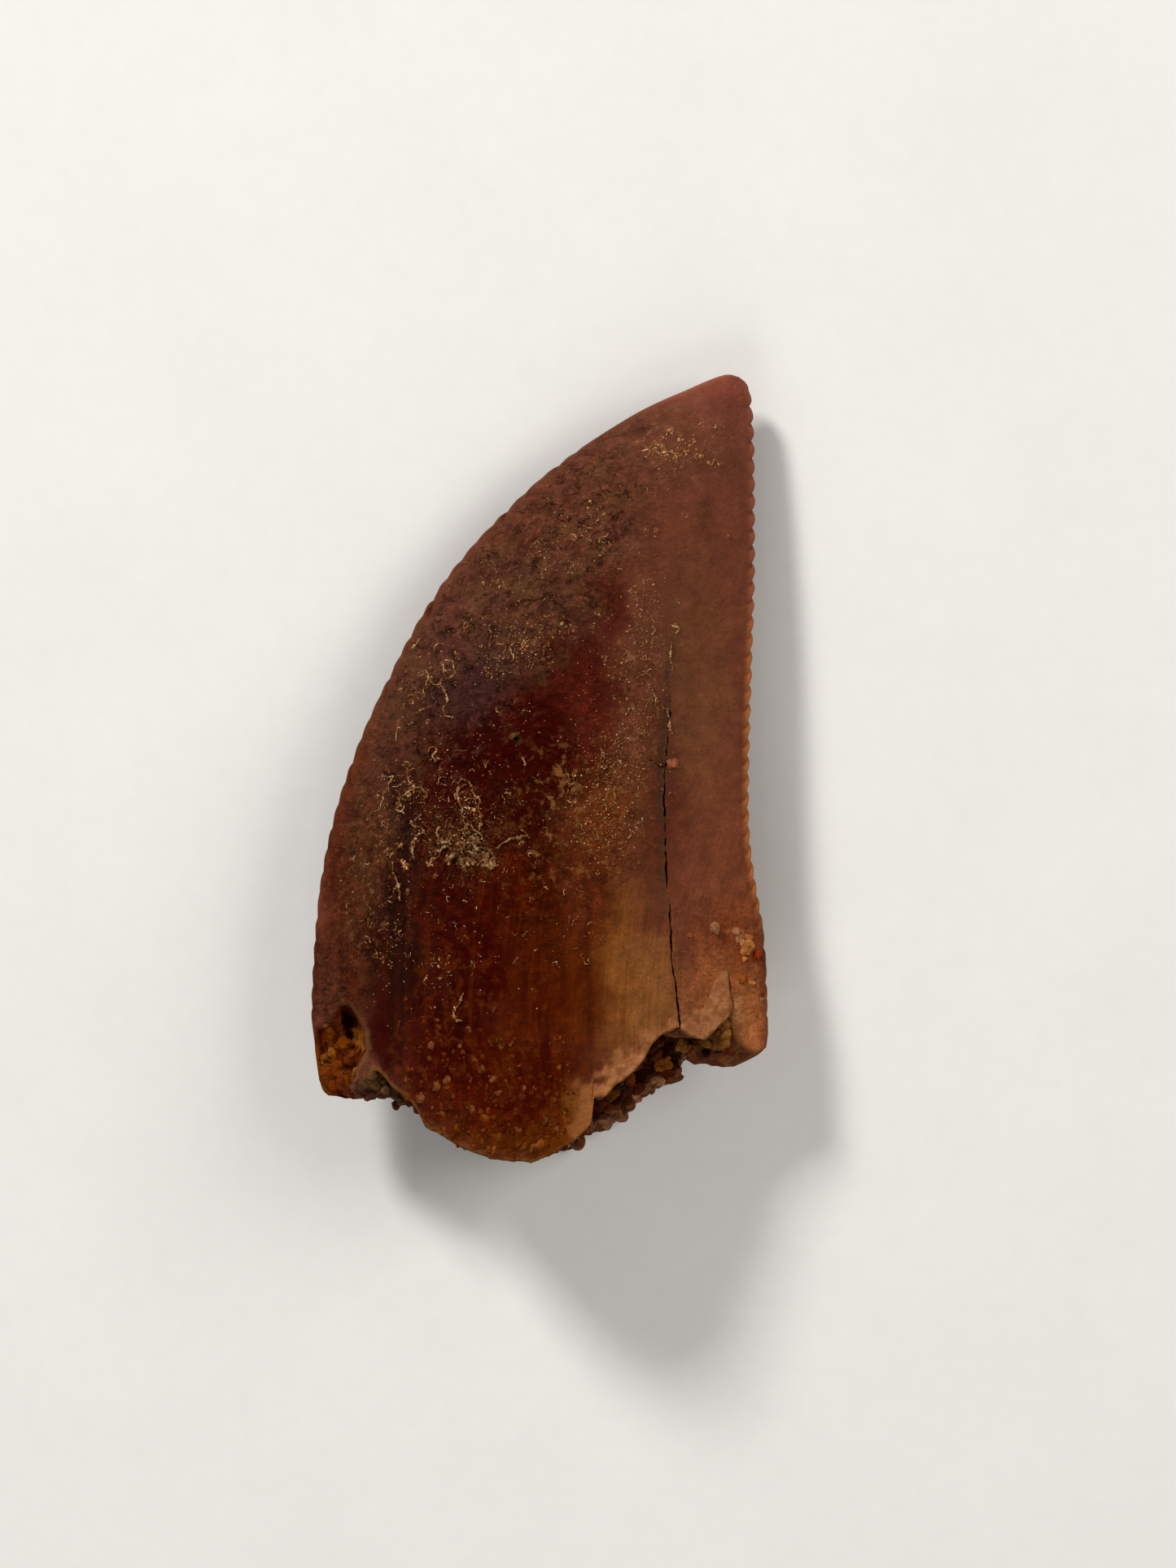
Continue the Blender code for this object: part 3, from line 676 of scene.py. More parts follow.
# Sand stuck to the tooth
stuckSand = {
    "onFace": [                          # X, Y, radius and kind of each grain stuck to the tooth
        (4.66, -4.30, 0.27, "pale"), (5.25, -4.38, 0.17, "pale"), (5.34, -4.62, 0.17, "pale"),
        (5.52, -4.76, 0.30, "apricot"), (5.42, -4.94, 0.17, "apricot"), (3.95, -4.46, 0.13, "rosy"),
        (5.42, -5.66, 0.23, "amber"), (5.62, -5.75, 0.14, "apricot"), (5.76, -5.05, 0.20, "vivid"),
        (5.90, -6.20, 0.10, "pale"), (3.53, 0.13, 0.19, "rosy"), (3.45, 0.02, 0.10, "rosy"),
        (3.08, 6.26, 0.09, "rosy"), (5.05, 6.20, 0.09, "rosy"),
    ],
    "sunk": [                            # the same, half buried in the surface by the break
        (-2.82, -7.32, 0.22, "rosy"), (-2.66, -8.33, 0.30, "tan"), (-2.40, -8.18, 0.26, "tan"),
        (-1.48, -7.87, 0.19, "rosy"), (-1.75, -8.98, 0.22, "tan"), (-3.05, -8.66, 0.24, "tan"),
        (-3.50, -8.22, 0.16, "rosy"), (-1.77, -8.65, 0.15, "tan"), (-2.05, -7.28, 0.12, "gold"),
        (-2.13, -9.43, 0.15, "amber"), (-1.05, -8.50, 0.16, "rosy"), (-1.38, -9.22, 0.30, "amber"),
        (-0.45, -9.88, 0.30, "amber"), (-1.05, -9.70, 0.22, "amber"), (0.15, -9.75, 0.30, "amber"),
        (-0.15, -9.95, 0.20, "tan"), (-2.50, -9.05, 0.16, "amber"), (-0.62, -8.95, 0.15, "brick"),
        (-1.95, -7.62, 0.12, "brick"), (-2.20, -6.55, 0.12, "rosy"), (-1.15, -6.35, 0.13, "rosy"),
        (-4.22, -6.43, 0.06, "gold"), (-4.21, -5.95, 0.04, "gold"),
    ],
    "inChip": [
        (-5.47, -7.62, 0.44, "honey"), (-5.20, -7.36, 0.26, "orange"), (-5.48, -7.08, 0.34, "orange"),
        (-5.68, -6.84, 0.20, "tan"), (-5.86, -7.92, 0.17, "tan"), (-5.50, -8.30, 0.46, "orange"),
        (-5.12, -8.42, 0.30, "red"), (-4.96, -7.72, 0.22, "brick"), (-5.84, -7.38, 0.24, "orange"),
        (-5.14, -7.98, 0.27, "orange"), (-4.86, -8.12, 0.20, "tan"),
    ],
    "inNotch": [                         # the same, on the broken surface between the walls
        (3.81, -7.44, 0.28, "green"), (4.20, -7.43, 0.20, "green"), (4.43, -7.40, 0.20, "green"),
        (4.88, -7.25, 0.32, "green"), (4.93, -6.87, 0.19, "green"), (4.50, -7.66, 0.14, "dark"),
        (5.08, -7.55, 0.14, "red"), (4.78, -7.58, 0.13, "dark"),
        (3.28, -7.76, 0.34, "amber"), (3.42, -8.16, 0.27, "red"), (2.86, -8.06, 0.26, "dark"),
        (3.22, -7.32, 0.17, "red"), (2.42, -8.30, 0.22, "red"), (2.62, -8.62, 0.26, "red"),
        (2.10, -8.78, 0.24, "dark"), (2.02, -9.18, 0.25, "stone"), (1.60, -9.06, 0.20, "dark"),
        (1.62, -9.50, 0.22, "stone"), (2.95, -8.48, 0.24, "stone"), (1.30, -9.85, 0.18, "red"),
        (4.10, -7.52, 0.13, "dark"), (2.52, -8.98, 0.20, "amber"),
    ],
    "mist": {                            # spread at random below the upper break
        "count": 44, "from": (-4.92, -3.50), "radius": (0.14, 0.30), "kinds": ["mist", "mist", "mauve"],
    },
    "buried": {                          # spread at random above it, half buried
        "count": 210, "from": (-3.5, 0.8), "above": (0.06, 3.2), "radius": (0.06, 0.15),
        "kinds": ["tan", "amber"] + ["orange"] * 3 + ["brick"] * 4,
        "foot": (0.062, 0.007, 0.001), "footLow": (0.110, 0.024, 0.002),     # the ground's colours
        "lumps": 3, "shape": {"segments": 8, "rings": 5, "flat": 0.5, "facets": 7},
    },
    "colours": {
        "pale": (0.350, 0.150, 0.066), "rosy": (0.210, 0.066, 0.026), "amber": (0.200, 0.056, 0.007),
        "red": (0.120, 0.018, 0.004), "gold": (0.260, 0.100, 0.016), "green": (0.165, 0.060, 0.011),
        "mist": (0.095, 0.043, 0.017), "dark": (0.020, 0.003, 0.001), "stone": (0.110, 0.042, 0.016),
        "mauve": (0.078, 0.027, 0.015), "brick": (0.120, 0.024, 0.005), "orange": (0.130, 0.026, 0.002),
        "honey": (0.190, 0.058, 0.006), "tan": (0.190, 0.062, 0.018), "apricot": (0.360, 0.125, 0.032),
        "vivid": (0.210, 0.020, 0.004),
    },
    "stand": {                           # how far each kind's middle stands above the surface, in radii
        "onFace": -0.05, "inChip": -0.40, "inNotch": 0.25, "mist": 0.0, "buried": -0.19,
    },
    "lumps": 4,                          # each is a cluster of this many overlapping pieces
    "shape": {"segments": 9, "rings": 5, "flat": 0.6, "facets": 8},
}


def looseGrains(random, look, low, high):
    # rows of X, Y, radius and kind, spread between two heights above or below the break
    x = random.uniform(*look["from"], look["count"])
    y = low(x) + (high(x) - low(x)) * random.uniform(0, 1, look["count"]) ** 1.3
    radius = random.uniform(*look["radius"], look["count"])
    return list(zip(x, y, radius, random.choice(look["kinds"], look["count"])))


def lumpUp(random, rows, z, stand, lumps):
    # each row's grain as a cluster of overlapping pieces on the surface at height z
    x, y, radius = (np.array([row[k] for row in rows], float) for k in range(3))
    colours = np.array([stuckSand["colours"][row[-1]] for row in rows])
    shift = random.normal(0, 1, (len(rows), lumps, 3)) * [0.34, 0.34, 0.12] * radius[:, None, None]
    shift[:, 0] = 0
    share = random.uniform(0.40, 0.75, (len(rows), lumps))
    share[:, 0] = 0.85
    shade = random.uniform(0.75, 1.3, (len(rows) * lumps, 1))
    centres = (np.stack([x, y, z + radius * stand], axis=-1)[:, None] + shift).reshape(-1, 3)
    return centres, (radius[:, None] * share).ravel(), np.repeat(colours, lumps, axis=0) * shade


def buildStuckSand():
    random = np.random.default_rng(30)
    groups = {key: stuckSand[key] for key in ("onFace", "inChip", "inNotch")}
    low, high = (lambda x: breakLine(x, -1.0) + 0.14), (lambda x: breakLine(x, 1.0) - 0.02)
    groups["mist"] = looseGrains(random, stuckSand["mist"], low, high)
    rows = [row for group in groups.values() for row in group]
    stand = np.concatenate([np.full(len(group), stuckSand["stand"][key]) for key, group in groups.items()])
    z = topOf([crown, sandBody], np.array([row[0] for row in rows]), np.array([row[1] for row in rows]))
    under = z > 0.21                     # nothing hangs beside the tooth
    rows = [row for row, kept in zip(rows, under) if kept]
    parts = lumpUp(random, rows, z[under], stand[under], stuckSand["lumps"])
    return grainPiece("stuck_sand", *parts, 31, **stuckSand["shape"])


def buildBuriedGrains():
    random = np.random.default_rng(34)
    look = stuckSand["buried"]
    near, far = look["above"]
    loose = looseGrains(random, look, lambda x: breakLine(x, 1.0) + near, lambda x: breakLine(x, 1.0) + far)
    rows = stuckSand["sunk"] + loose
    x, y = (np.array([row[k] for row in rows], float) for k in (0, 1))
    stand = stuckSand["stand"]["buried"]
    centres, radii, colours = lumpUp(random, rows, faceHeight(x, y), stand, look["lumps"])
    low = smooth(1 - (centres[:, 1] - breakLine(centres[:, 0], 1.0)) / 0.9)[:, None]
    foot = np.array(look["foot"]) * (1 - low) + np.array(look["footLow"]) * low
    return grainPiece("buried_grains", centres, radii, colours, 35, foot, **look["shape"])


stuckGrains = buildStuckSand()
buriedGrains = buildBuriedGrains()
print("stuck sand:", len(stuckGrains.data.polygons), "faces and", len(buriedGrains.data.polygons),
      "half buried")

# Crust: threads and specks of dried sediment, the palest of them painted highlights
crust = {
    "clusters": [                        # centre, radii, turn, threads' cover and size, and specks
        ((-3.25, 2.60), (1.00, 1.45), -0.3, 0.62, 0.9, 560),
        ((-4.05, -0.60), (0.85, 1.30), -0.1, 0.66, 0.9, 640),
        ((-2.70, -1.10), (1.20, 1.10), 0.0, 0.50, 0.9, 280),
        ((-1.90, -2.10), (0.75, 0.42), -0.35, 0.50, 1.1, 160),
        ((-1.85, -1.15), (0.22, 0.60), 0.2, 0.40, 0.9, 80),
        ((-4.85, -3.30), (0.50, 1.60), 0.0, 0.60, 0.9, 560),
        ((-2.58, -5.59), (0.45, 0.80), 0.0, 0.40, 0.7, 120),
        ((-1.60, 5.00), (1.20, 2.40), -0.7, 0.34, 0.8, 1200),
        ((0.50, 6.40), (1.50, 1.50), 0.0, 0.28, 0.7, 760),
        ((-0.40, 3.20), (1.40, 0.80), 0.4, 0.45, 0.8, 800),
        ((3.70, 8.60), (1.20, 0.60), 0.2, 0.40, 0.8, 560),
        ((1.80, -0.70), (1.10, 1.90), 0.0, 0.24, 0.8, 860),
        ((2.80, 3.00), (0.60, 2.20), 0.0, 0.28, 0.8, 700),
        ((-4.60, -1.60), (0.70, 1.80), 0.0, 0.50, 0.8, 900),
        ((1.70, 0.40), (1.30, 2.80), 0.0, 0.10, 0.7, 1100),
        ((-3.95, -3.40), (0.60, 2.60), 0.0, 0.20, 0.8, 620),
        ((-0.51, 0.93), (4.60, 8.60), -0.35, 0.08, 0.7, 3000),
    ],
    "layers": [(63, 0.0), (68, 0.05)],   # noise and lift; all but the first on the heap alone
    "bare": [                            # centre, radii and turn of places with hardly any crust
        ((0.95, 1.70), (1.10, 1.50), -0.2), ((2.60, -5.40), (1.10, 2.60), 0.0),
        ((4.60, 1.0), (0.90, 7.0), 0.0), ((-0.6, -7.6), (3.2, 2.6), 0.0),
    ],
    "drawn": [                           # conspicuous threads, point by point
        [(-2.90, 2.66), (-2.94, 2.80), (-2.92, 2.91), (-2.98, 3.01), (-2.86, 3.07), (-2.82, 3.20),
         (-2.74, 3.29), (-2.60, 3.29), (-2.50, 3.23), (-2.42, 3.23), (-2.37, 3.09)],
        [(-2.53, 2.50), (-2.56, 2.80), (-2.47, 2.86), (-2.33, 2.83), (-2.28, 2.64), (-2.25, 2.49),
         (-2.34, 2.40), (-2.47, 2.35), (-2.53, 2.50), (-2.44, 2.60), (-2.30, 2.57)],
        [(-3.43, 3.18), (-3.34, 3.28), (-3.24, 3.41), (-3.11, 3.54)],
        [(-3.37, 2.59), (-3.41, 2.25), (-3.34, 2.06)],
        [(-3.27, 2.50), (-3.11, 2.58), (-2.98, 2.53), (-2.94, 2.38), (-3.02, 2.22), (-3.00, 2.04)],
        [(-3.48, 1.10), (-3.40, 1.16), (-3.35, 1.21)], [(-2.30, 1.28), (-2.40, 1.35), (-2.52, 1.36)],
        [(-3.63, 2.49), (-3.42, 2.60), (-3.21, 2.46), (-3.00, 2.53), (-2.93, 2.35), (-2.79, 2.18),
         (-2.58, 2.14), (-2.48, 1.97), (-2.44, 1.76), (-2.55, 1.58), (-2.51, 1.37)],
        [(-3.82, 2.20), (-3.87, 2.07), (-3.81, 1.93), (-3.71, 2.00), (-3.66, 2.19), (-3.60, 2.41),
         (-3.50, 2.54), (-3.37, 2.60), (-3.29, 2.53)],
        [(-3.21, 1.85), (-3.34, 1.95), (-3.50, 1.90), (-3.61, 1.77), (-3.64, 1.61), (-3.63, 1.39),
         (-3.71, 1.29), (-3.79, 1.04), (-3.82, 0.70)],
        [(-3.53, 1.41), (-3.32, 1.45), (-3.14, 1.51), (-3.00, 1.58), (-2.86, 1.62)],
        [(-2.94, 0.40), (-2.90, 0.53), (-2.79, 0.54), (-2.71, 0.43), (-2.83, 0.29), (-2.72, 0.18),
         (-2.58, 0.22)],
        [(-3.60, 0.18), (-3.63, 0.08), (-3.53, -0.03), (-3.49, -0.24), (-3.42, -0.41), (-3.25, -0.52),
         (-3.07, -0.59), (-3.00, -0.73), (-3.04, -0.90)],
        [(-4.26, -0.24), (-4.09, -0.27), (-3.88, -0.25), (-3.98, -0.41), (-4.09, -0.59), (-4.16, -0.80),
         (-4.26, -1.08), (-4.44, -1.22), (-4.61, -1.43)],
        [(-3.77, -0.85), (-3.68, -0.98), (-3.78, -1.08), (-3.69, -1.16), (-3.56, -1.05)],
        [(-3.42, -1.43), (-3.32, -1.53), (-3.11, -1.60), (-3.07, -1.74), (-3.25, -1.81), (-3.35, -1.99),
         (-3.32, -2.41)],
        [(-3.64, -2.02), (-3.76, -2.19), (-3.93, -2.35)],
        [(-3.80, -1.11), (-3.68, -1.14), (-3.57, -1.24)], [(-4.02, -0.35), (-4.02, -0.66)],
        [(-2.89, 0.21), (-2.80, 0.15), (-2.70, 0.21), (-2.54, 0.21)],
        [(-3.60, -0.78), (-3.43, -0.64), (-3.26, -0.53), (-3.14, -0.51), (-3.02, -0.62)],
        [(-3.91, -2.79), (-3.81, -2.93), (-3.70, -3.14), (-3.67, -3.53)],
        [(-2.13, -0.41), (-2.02, -0.31), (-1.85, -0.41), (-1.74, -0.62), (-1.67, -0.80), (-1.57, -0.80),
         (-1.60, -1.08), (-1.53, -1.36), (-1.57, -1.64), (-1.67, -1.81)],
        [(-2.09, -0.52), (-2.13, -0.80), (-2.02, -1.15), (-2.06, -1.36), (-1.88, -1.57)],
        [(-1.95, -0.87), (-1.81, -0.80), (-1.67, -0.94), (-1.72, -1.12), (-2.02, -1.08)],
        [(-2.65, -1.57), (-2.69, -1.78), (-2.58, -1.95), (-2.41, -1.99), (-2.30, -1.85), (-2.37, -1.64),
         (-2.30, -1.53), (-2.16, -1.71)],
        [(-2.16, -1.71), (-1.99, -1.64), (-1.85, -1.50), (-1.67, -1.67), (-1.50, -1.81), (-1.46, -1.95),
         (-1.60, -1.99), (-1.78, -1.81)],
        [(-2.90, -2.55), (-2.79, -2.41), (-2.65, -2.34), (-2.51, -2.13), (-2.30, -2.13), (-2.16, -2.20),
         (-2.02, -2.13), (-1.95, -1.99)],
        [(-2.37, -2.55), (-2.30, -2.34), (-2.13, -2.27), (-2.02, -2.48), (-1.92, -2.76)],
        [(-1.95, -2.20), (-1.74, -2.27), (-1.60, -2.41), (-1.67, -2.20), (-1.46, -2.13), (-1.29, -2.20),
         (-1.15, -2.48), (-1.25, -2.62), (-1.39, -2.48), (-1.36, -2.30)],
        [(-1.11, -2.13), (-1.01, -2.02), (-0.83, -1.95), (-0.69, -1.85), (-0.41, -1.81), (-0.24, -1.85)],
        [(-1.08, -1.36), (-0.97, -1.43)], [(-0.45, -1.64), (-0.34, -1.74)],
        [(-0.45, 0.25), (-0.34, 0.04)], [(2.66, 8.48), (2.92, 8.53), (3.08, 8.74)],
        [(3.39, 8.90), (3.44, 9.08)], [(3.03, 8.53), (3.19, 8.38), (3.50, 8.43), (3.76, 8.32)],
        [(4.44, 8.16), (4.60, 8.11), (4.70, 8.28)], [(2.80, 8.30), (2.98, 8.40), (3.20, 8.36)],
        [(4.70, 9.20), (4.87, 8.90), (4.97, 9.30)],
        [(-1.59, 5.44), (-1.49, 5.56), (-1.23, 5.44), (-1.17, 5.12), (-1.33, 4.81)],
        [(2.97, 3.75), (3.06, 3.66), (3.00, 3.50)],
        [(3.55, 3.78), (3.68, 3.70), (3.62, 3.58), (3.52, 3.64)],
        [(3.50, 3.30), (3.46, 3.00), (3.55, 2.60)], [(3.40, 1.55), (3.44, 1.15), (3.50, 0.80)],
        [(-1.98, -5.90), (-2.04, -6.15), (-2.22, -6.35), (-2.16, -6.60), (-2.00, -6.62)],
    ],
    "drawnSize": 1.35, "drawnStep": 0.025, "drawnCrumbs": 0.5,
    "gridStep": 0.030, "threadScale": 4.8, "threadRadius": (0.005, 0.020), "rise": 0.006,
    "crumbRadius": (0.012, 0.050), "heap": ((-1.95, -2.10), (0.95, 0.62), -0.3),
    "lumps": [                           # X, Y and reach of each lump of crumbs
        (-1.47, -2.34, 0.15), (-1.25, -2.54, 0.10), (-1.69, -1.93, 0.12), (-1.95, -1.70, 0.09),
        (-1.80, -2.46, 0.10), (-2.27, -2.26, 0.11), (-2.05, -2.50, 0.10), (-2.69, -2.24, 0.08),
        (-2.88, -2.58, 0.08), (-2.45, -2.42, 0.08), (-2.42, -1.98, 0.07), (-2.62, -1.98, 0.07),
        (-2.62, -1.66, 0.06), (-2.05, -2.14, 0.07), (-1.62, -2.16, 0.08), (-4.20, -0.28, 0.08),
        (-3.96, -0.30, 0.07), (-3.60, 0.06, 0.07), (-3.52, -0.70, 0.09), (-3.34, -0.60, 0.07),
        (-3.72, -0.97, 0.08), (-4.20, -1.00, 0.06), (-4.56, -1.26, 0.07), (-3.34, -1.50, 0.06),
        (-3.14, -1.70, 0.06), (-3.24, -1.96, 0.06), (-3.38, -2.10, 0.06), (-3.66, -2.06, 0.07),
        (-3.92, -2.32, 0.07), (-3.52, -2.58, 0.11), (-3.37, 1.74, 0.08), (-3.31, 3.02, 0.08),
        (-2.95, 2.20, 0.06), (-2.97, 1.21, 0.06), (-3.78, 1.05, 0.06), (-3.37, 2.58, 0.06),
        (-2.62, 3.04, 0.07), (-2.50, 2.00, 0.06), (3.62, 8.30, 0.08), (3.10, 8.48, 0.07),
        (4.78, 8.20, 0.07), (3.35, 8.85, 0.06), (3.60, 3.72, 0.07), (-2.60, -5.55, 0.06),
        (2.90, 8.50, 0.07), (3.25, 8.62, 0.08), (3.50, 9.00, 0.07), (3.90, 8.45, 0.07),
        (4.30, 8.30, 0.08), (4.60, 8.05, 0.07), (3.80, 8.02, 0.06), (4.12, 8.75, 0.06),
        (3.02, 8.15, 0.07), (2.62, 8.70, 0.06), (4.85, 8.62, 0.05),
    ],
    "lumpPieces": 1900,                  # a lump's count of crumbs, to the square of its reach
    "lumpCrumb": (0.016, 0.20),          # a lump's crumbs: least radius, and more by its reach
    "crumbShape": {"segments": 7, "rings": 4, "flat": 0.6, "facets": 9, "stretch": (0.45, 1.6)},
    "speckRadius": (0.008, 0.036),
    "speckShape": {"segments": 5, "rings": 2, "flat": 0.8, "facets": 3},
    # the last, palest colour is a painted highlight: threads, crumbs and specks in it stand for glints
    "colours": [(0.27, 0.115, 0.036), (0.40, 0.190, 0.068), (0.16, 0.055, 0.017), (0.58, 0.370, 0.190)],
    "shares": [0.38, 0.26, 0.26, 0.10],
}


def scatter(random, cluster, count):
    # points spread through a turned ellipse, thinning towards its rim, kept on the crown
    (cx, cy), (rx, ry), turn = cluster[:3]
    angle = random.uniform(0, 2 * math.pi, count)
    reach = random.uniform(0, 1, count) ** 0.6
    u, v = rx * reach * np.cos(angle), ry * reach * np.sin(angle)
    x = cx + u * math.cos(turn) - v * math.sin(turn)
    y = cy + u * math.sin(turn) + v * math.cos(turn)
    return x, y


def onCrown(x, y, margin=0.20):
    height, share = findOnFace(x, y)
    width = np.linalg.norm(edgeAt(backEdge, height) - edgeAt(frontEdge, height), axis=-1)
    aboveBreak = y > breakLine(x, 1.0) + 0.15
    return aboveBreak & (np.minimum(share, 1 - share) * width > margin) & (height < 0.97)


def contourSteps(place, value):
    # marching squares: the short line across each grid cell on whose corners the value changes sign
    corners = [(slice(None, -1), slice(None, -1)), (slice(None, -1), slice(1, None)),
               (slice(1, None), slice(1, None)), (slice(1, None), slice(None, -1))]
    crossed, ends = [], []
    for a, b in zip(corners, corners[1:] + corners[:1]):
        drop = value[a] - value[b]
        t = np.clip(value[a] / np.where(np.abs(drop) < 1e-9, 1e-9, drop), 0, 1)[..., None]
        ends.append(place[a] + t * (place[b] - place[a]))
        crossed.append((value[a] > 0) != (value[b] > 0))
    crossed, ends = np.stack(crossed, axis=-1), np.stack(ends, axis=-2)
    single = crossed.sum(axis=-1) == 2
    order = np.argsort(~crossed[single], axis=-1, kind="stable")[:, :2, None]
    pairs = np.take_along_axis(ends[single], order, axis=1)
    return pairs[:, 0], pairs[:, 1]


def bareMask(x, y):                      # 1 where hardly any crust clings
    return np.maximum.reduce([spot(x, y, *shape, 0.3) for shape in crust["bare"]])


def drawnSteps():
    # the drawn threads, cut into short steps and shaken a little
    starts, ends = [], []
    for line in crust["drawn"]:
        points = curveThrough(line, 12) if len(line) > 2 else np.array(line)
        far = np.concatenate([[0], np.cumsum(np.linalg.norm(np.diff(points, axis=0), axis=1))])
        at = np.arange(0, far[-1], crust["drawnStep"])
        points = np.stack([np.interp(at, far, points[:, k]) for k in (0, 1)], axis=-1)
        place = np.c_[points * 7, np.zeros(len(points))]
        points = points + 0.045 * np.stack([fractalNoise(place, 71, 3), fractalNoise(place, 72, 3)], axis=-1)
        whole = fractalNoise(place * 0.6, 73) > -0.50    # the rest is broken off
        starts.append(points[:-1][whole[:-1]])
        ends.append(points[1:][whole[:-1]])
    start, end = np.concatenate(starts), np.concatenate(ends)
    inHeap = spot(start[:, 0], start[:, 1], *crust["heap"], 0.4)
    return start, end, crust["drawnSize"] * (1 + 0.8 * inHeap)


def threadCover(x, y):
    cover, size = np.zeros_like(x), np.full_like(x, 0.7)
    for centre, radii, turn, share, thick, _ in crust["clusters"]:
        inside = spot(x, y, centre, radii, turn, 0.35)
        cover = np.maximum(cover, share * inside)
        size = np.maximum(size, thick * inside)
    return cover, size


def threadSteps(seed):
    # where a noise passes through its middle value, cut into runs by a second noise
    step = crust["gridStep"]
    x, y = np.meshgrid(np.arange(-6, 6, step), np.arange(-9.5, 10, step))
    bent = np.stack([x, y, 0 * x], axis=-1) * crust["threadScale"]
    bent = bent + 0.6 * np.stack([fractalNoise(bent * 1.3, 61), fractalNoise(bent * 1.3, 62), 0 * x], axis=-1)
    start, end = contourSteps(np.stack([x, y], axis=-1), fractalNoise(bent, seed, 3))
    mx, my = ((start + end) / 2).T
    runs = (fractalNoise(np.stack([mx, my, 0 * mx], axis=-1) * 4.6, seed + 10, 3) + 0.45) / 0.9
    cover, size = threadCover(mx, my)
    cover = cover * (1 - bareMask(mx, my))
    kept = (runs < cover) & (cover > 0.02) & (np.linalg.norm(end - start, axis=-1) > 0.15 * step)
    if seed != crust["layers"][0][0]:
        kept &= size > 1.15
    start, end, size = start[kept], end[kept], size[kept]
    kept = onCrown(*start.T)
    return start[kept], end[kept], size[kept]


def buildThreads():
    # each step as a square-skinned cord of uneven thickness
    random = np.random.default_rng(51)
    layers = [(*threadSteps(seed), lift) for seed, lift in crust["layers"]] + [(*drawnSteps(), 0.02)]
    start, end, size = (np.concatenate([layer[k] for layer in layers]) for k in range(3))
    lift = np.concatenate([np.full(len(layer[0]), layer[3]) for layer in layers])[:, None]
    size = size[:, None]
    reach = (end - start) * 0.15
    path = np.stack([start - reach, end + reach], axis=1)
    px, py = path[..., 0], path[..., 1]
    place = np.stack([px, py, 0 * px], axis=-1)
    low, high = crust["threadRadius"]
    thick = size * (low + (high - low) * np.clip(0.4 + 1.6 * fractalNoise(place * 9, 65), 0, 1))
    thick = thick * random.uniform(0.6, 1.3, (len(path), 1))
    lift = lift + (0.01 + 0.04 * size**1.5) * np.clip(fractalNoise(place * 3, 66) + 0.2, 0, 1)
    path = np.stack([px, py, faceHeight(px, py) + crust["rise"] + lift], axis=-1)
    tangent = path[:, 1] - path[:, 0]
    tangent /= np.linalg.norm(tangent, axis=-1, keepdims=True)
    across = np.cross(tangent, [0, 0, 1.0])[:, None]
    upward = np.array([0, 0, 1.0])
    corners = [(1, 0), (0, 1.3), (-1, 0), (0, -2)]
    skin = np.stack([path + thick[..., None] * (a * across + b * upward) for a, b in corners], axis=2)
    tube = np.array([[0, 1, 5, 4], [1, 2, 6, 5], [2, 3, 7, 6], [3, 0, 4, 7], [3, 2, 1, 0], [4, 5, 6, 7]])
    faces = (tube[None] + (np.arange(len(path)) * 8)[:, None, None]).reshape(-1, 4)
    # the tone changes every short step, so the pale top colour shows as painted glints along each cord
    tone = 0.45 + 0.7 * fractalNoise(place[:, 0] * 6, 67) + random.uniform(-0.4, 0.4, len(path))
    order = np.argsort(np.array(crust["colours"])[:, 0])
    chosen = np.array(crust["colours"])[order][np.clip(tone * 4, 0, 3).astype(int)]
    chosen = chosen * (1 - 0.35 * spot(start[:, 0], start[:, 1], *crust["heap"], 0.4))[:, None]
    points, tints = skin.reshape(-1, 3), np.repeat(chosen, 8, axis=0)
    return makeObject("crust_threads", points, faces.tolist(), colours=tints)


def buildCrumbs():
    # crumbs strung along the drawn threads, in lumps where the photo shows them and a few by each cluster
    random = np.random.default_rng(54)
    start, _, _ = drawnSteps()
    strung = start[random.uniform(0, 1, len(start)) < crust["drawnCrumbs"]]
    strung = strung + random.normal(0, 0.020, strung.shape)
    lumps = np.array(crust["lumps"])
    lumps = np.repeat(lumps, np.ceil(crust["lumpPieces"] * lumps[:, 2] ** 2).astype(int), axis=0)
    inLump = lumps[:, :2] + random.normal(0, 0.60, (len(lumps), 2)) * lumps[:, 2:3]
    few = [scatter(random, cluster, 18) for cluster in crust["clusters"][:14]]
    x, y = (np.concatenate([strung[:, k], inLump[:, k]] + [place[k] for place in few]) for k in (0, 1))
    low, high = crust["crumbRadius"]
    radii = low + (high - low) * random.uniform(0, 1, len(x)) ** 2.5
    lumped = slice(len(strung), len(strung) + len(lumps))
    least, more = crust["lumpCrumb"]
    radii[lumped] = (least + more * lumps[:, 2]) * random.uniform(0.6, 1.4, len(lumps))
    kept = onCrown(x, y, 0.12)
    x, y, radii = x[kept], y[kept], radii[kept]
    centres = np.c_[x, y, faceHeight(x, y) + radii * random.uniform(0.1, 0.8, len(x))]
    dull = 1 - 0.4 * spot(x, y, *crust["heap"], 0.3)
    colours = pickColours(random, crust["colours"], len(x), crust["shares"]) * dull[:, None]
    return grainPiece("crust_crumbs", centres, radii, colours, 55, **crust["crumbShape"])


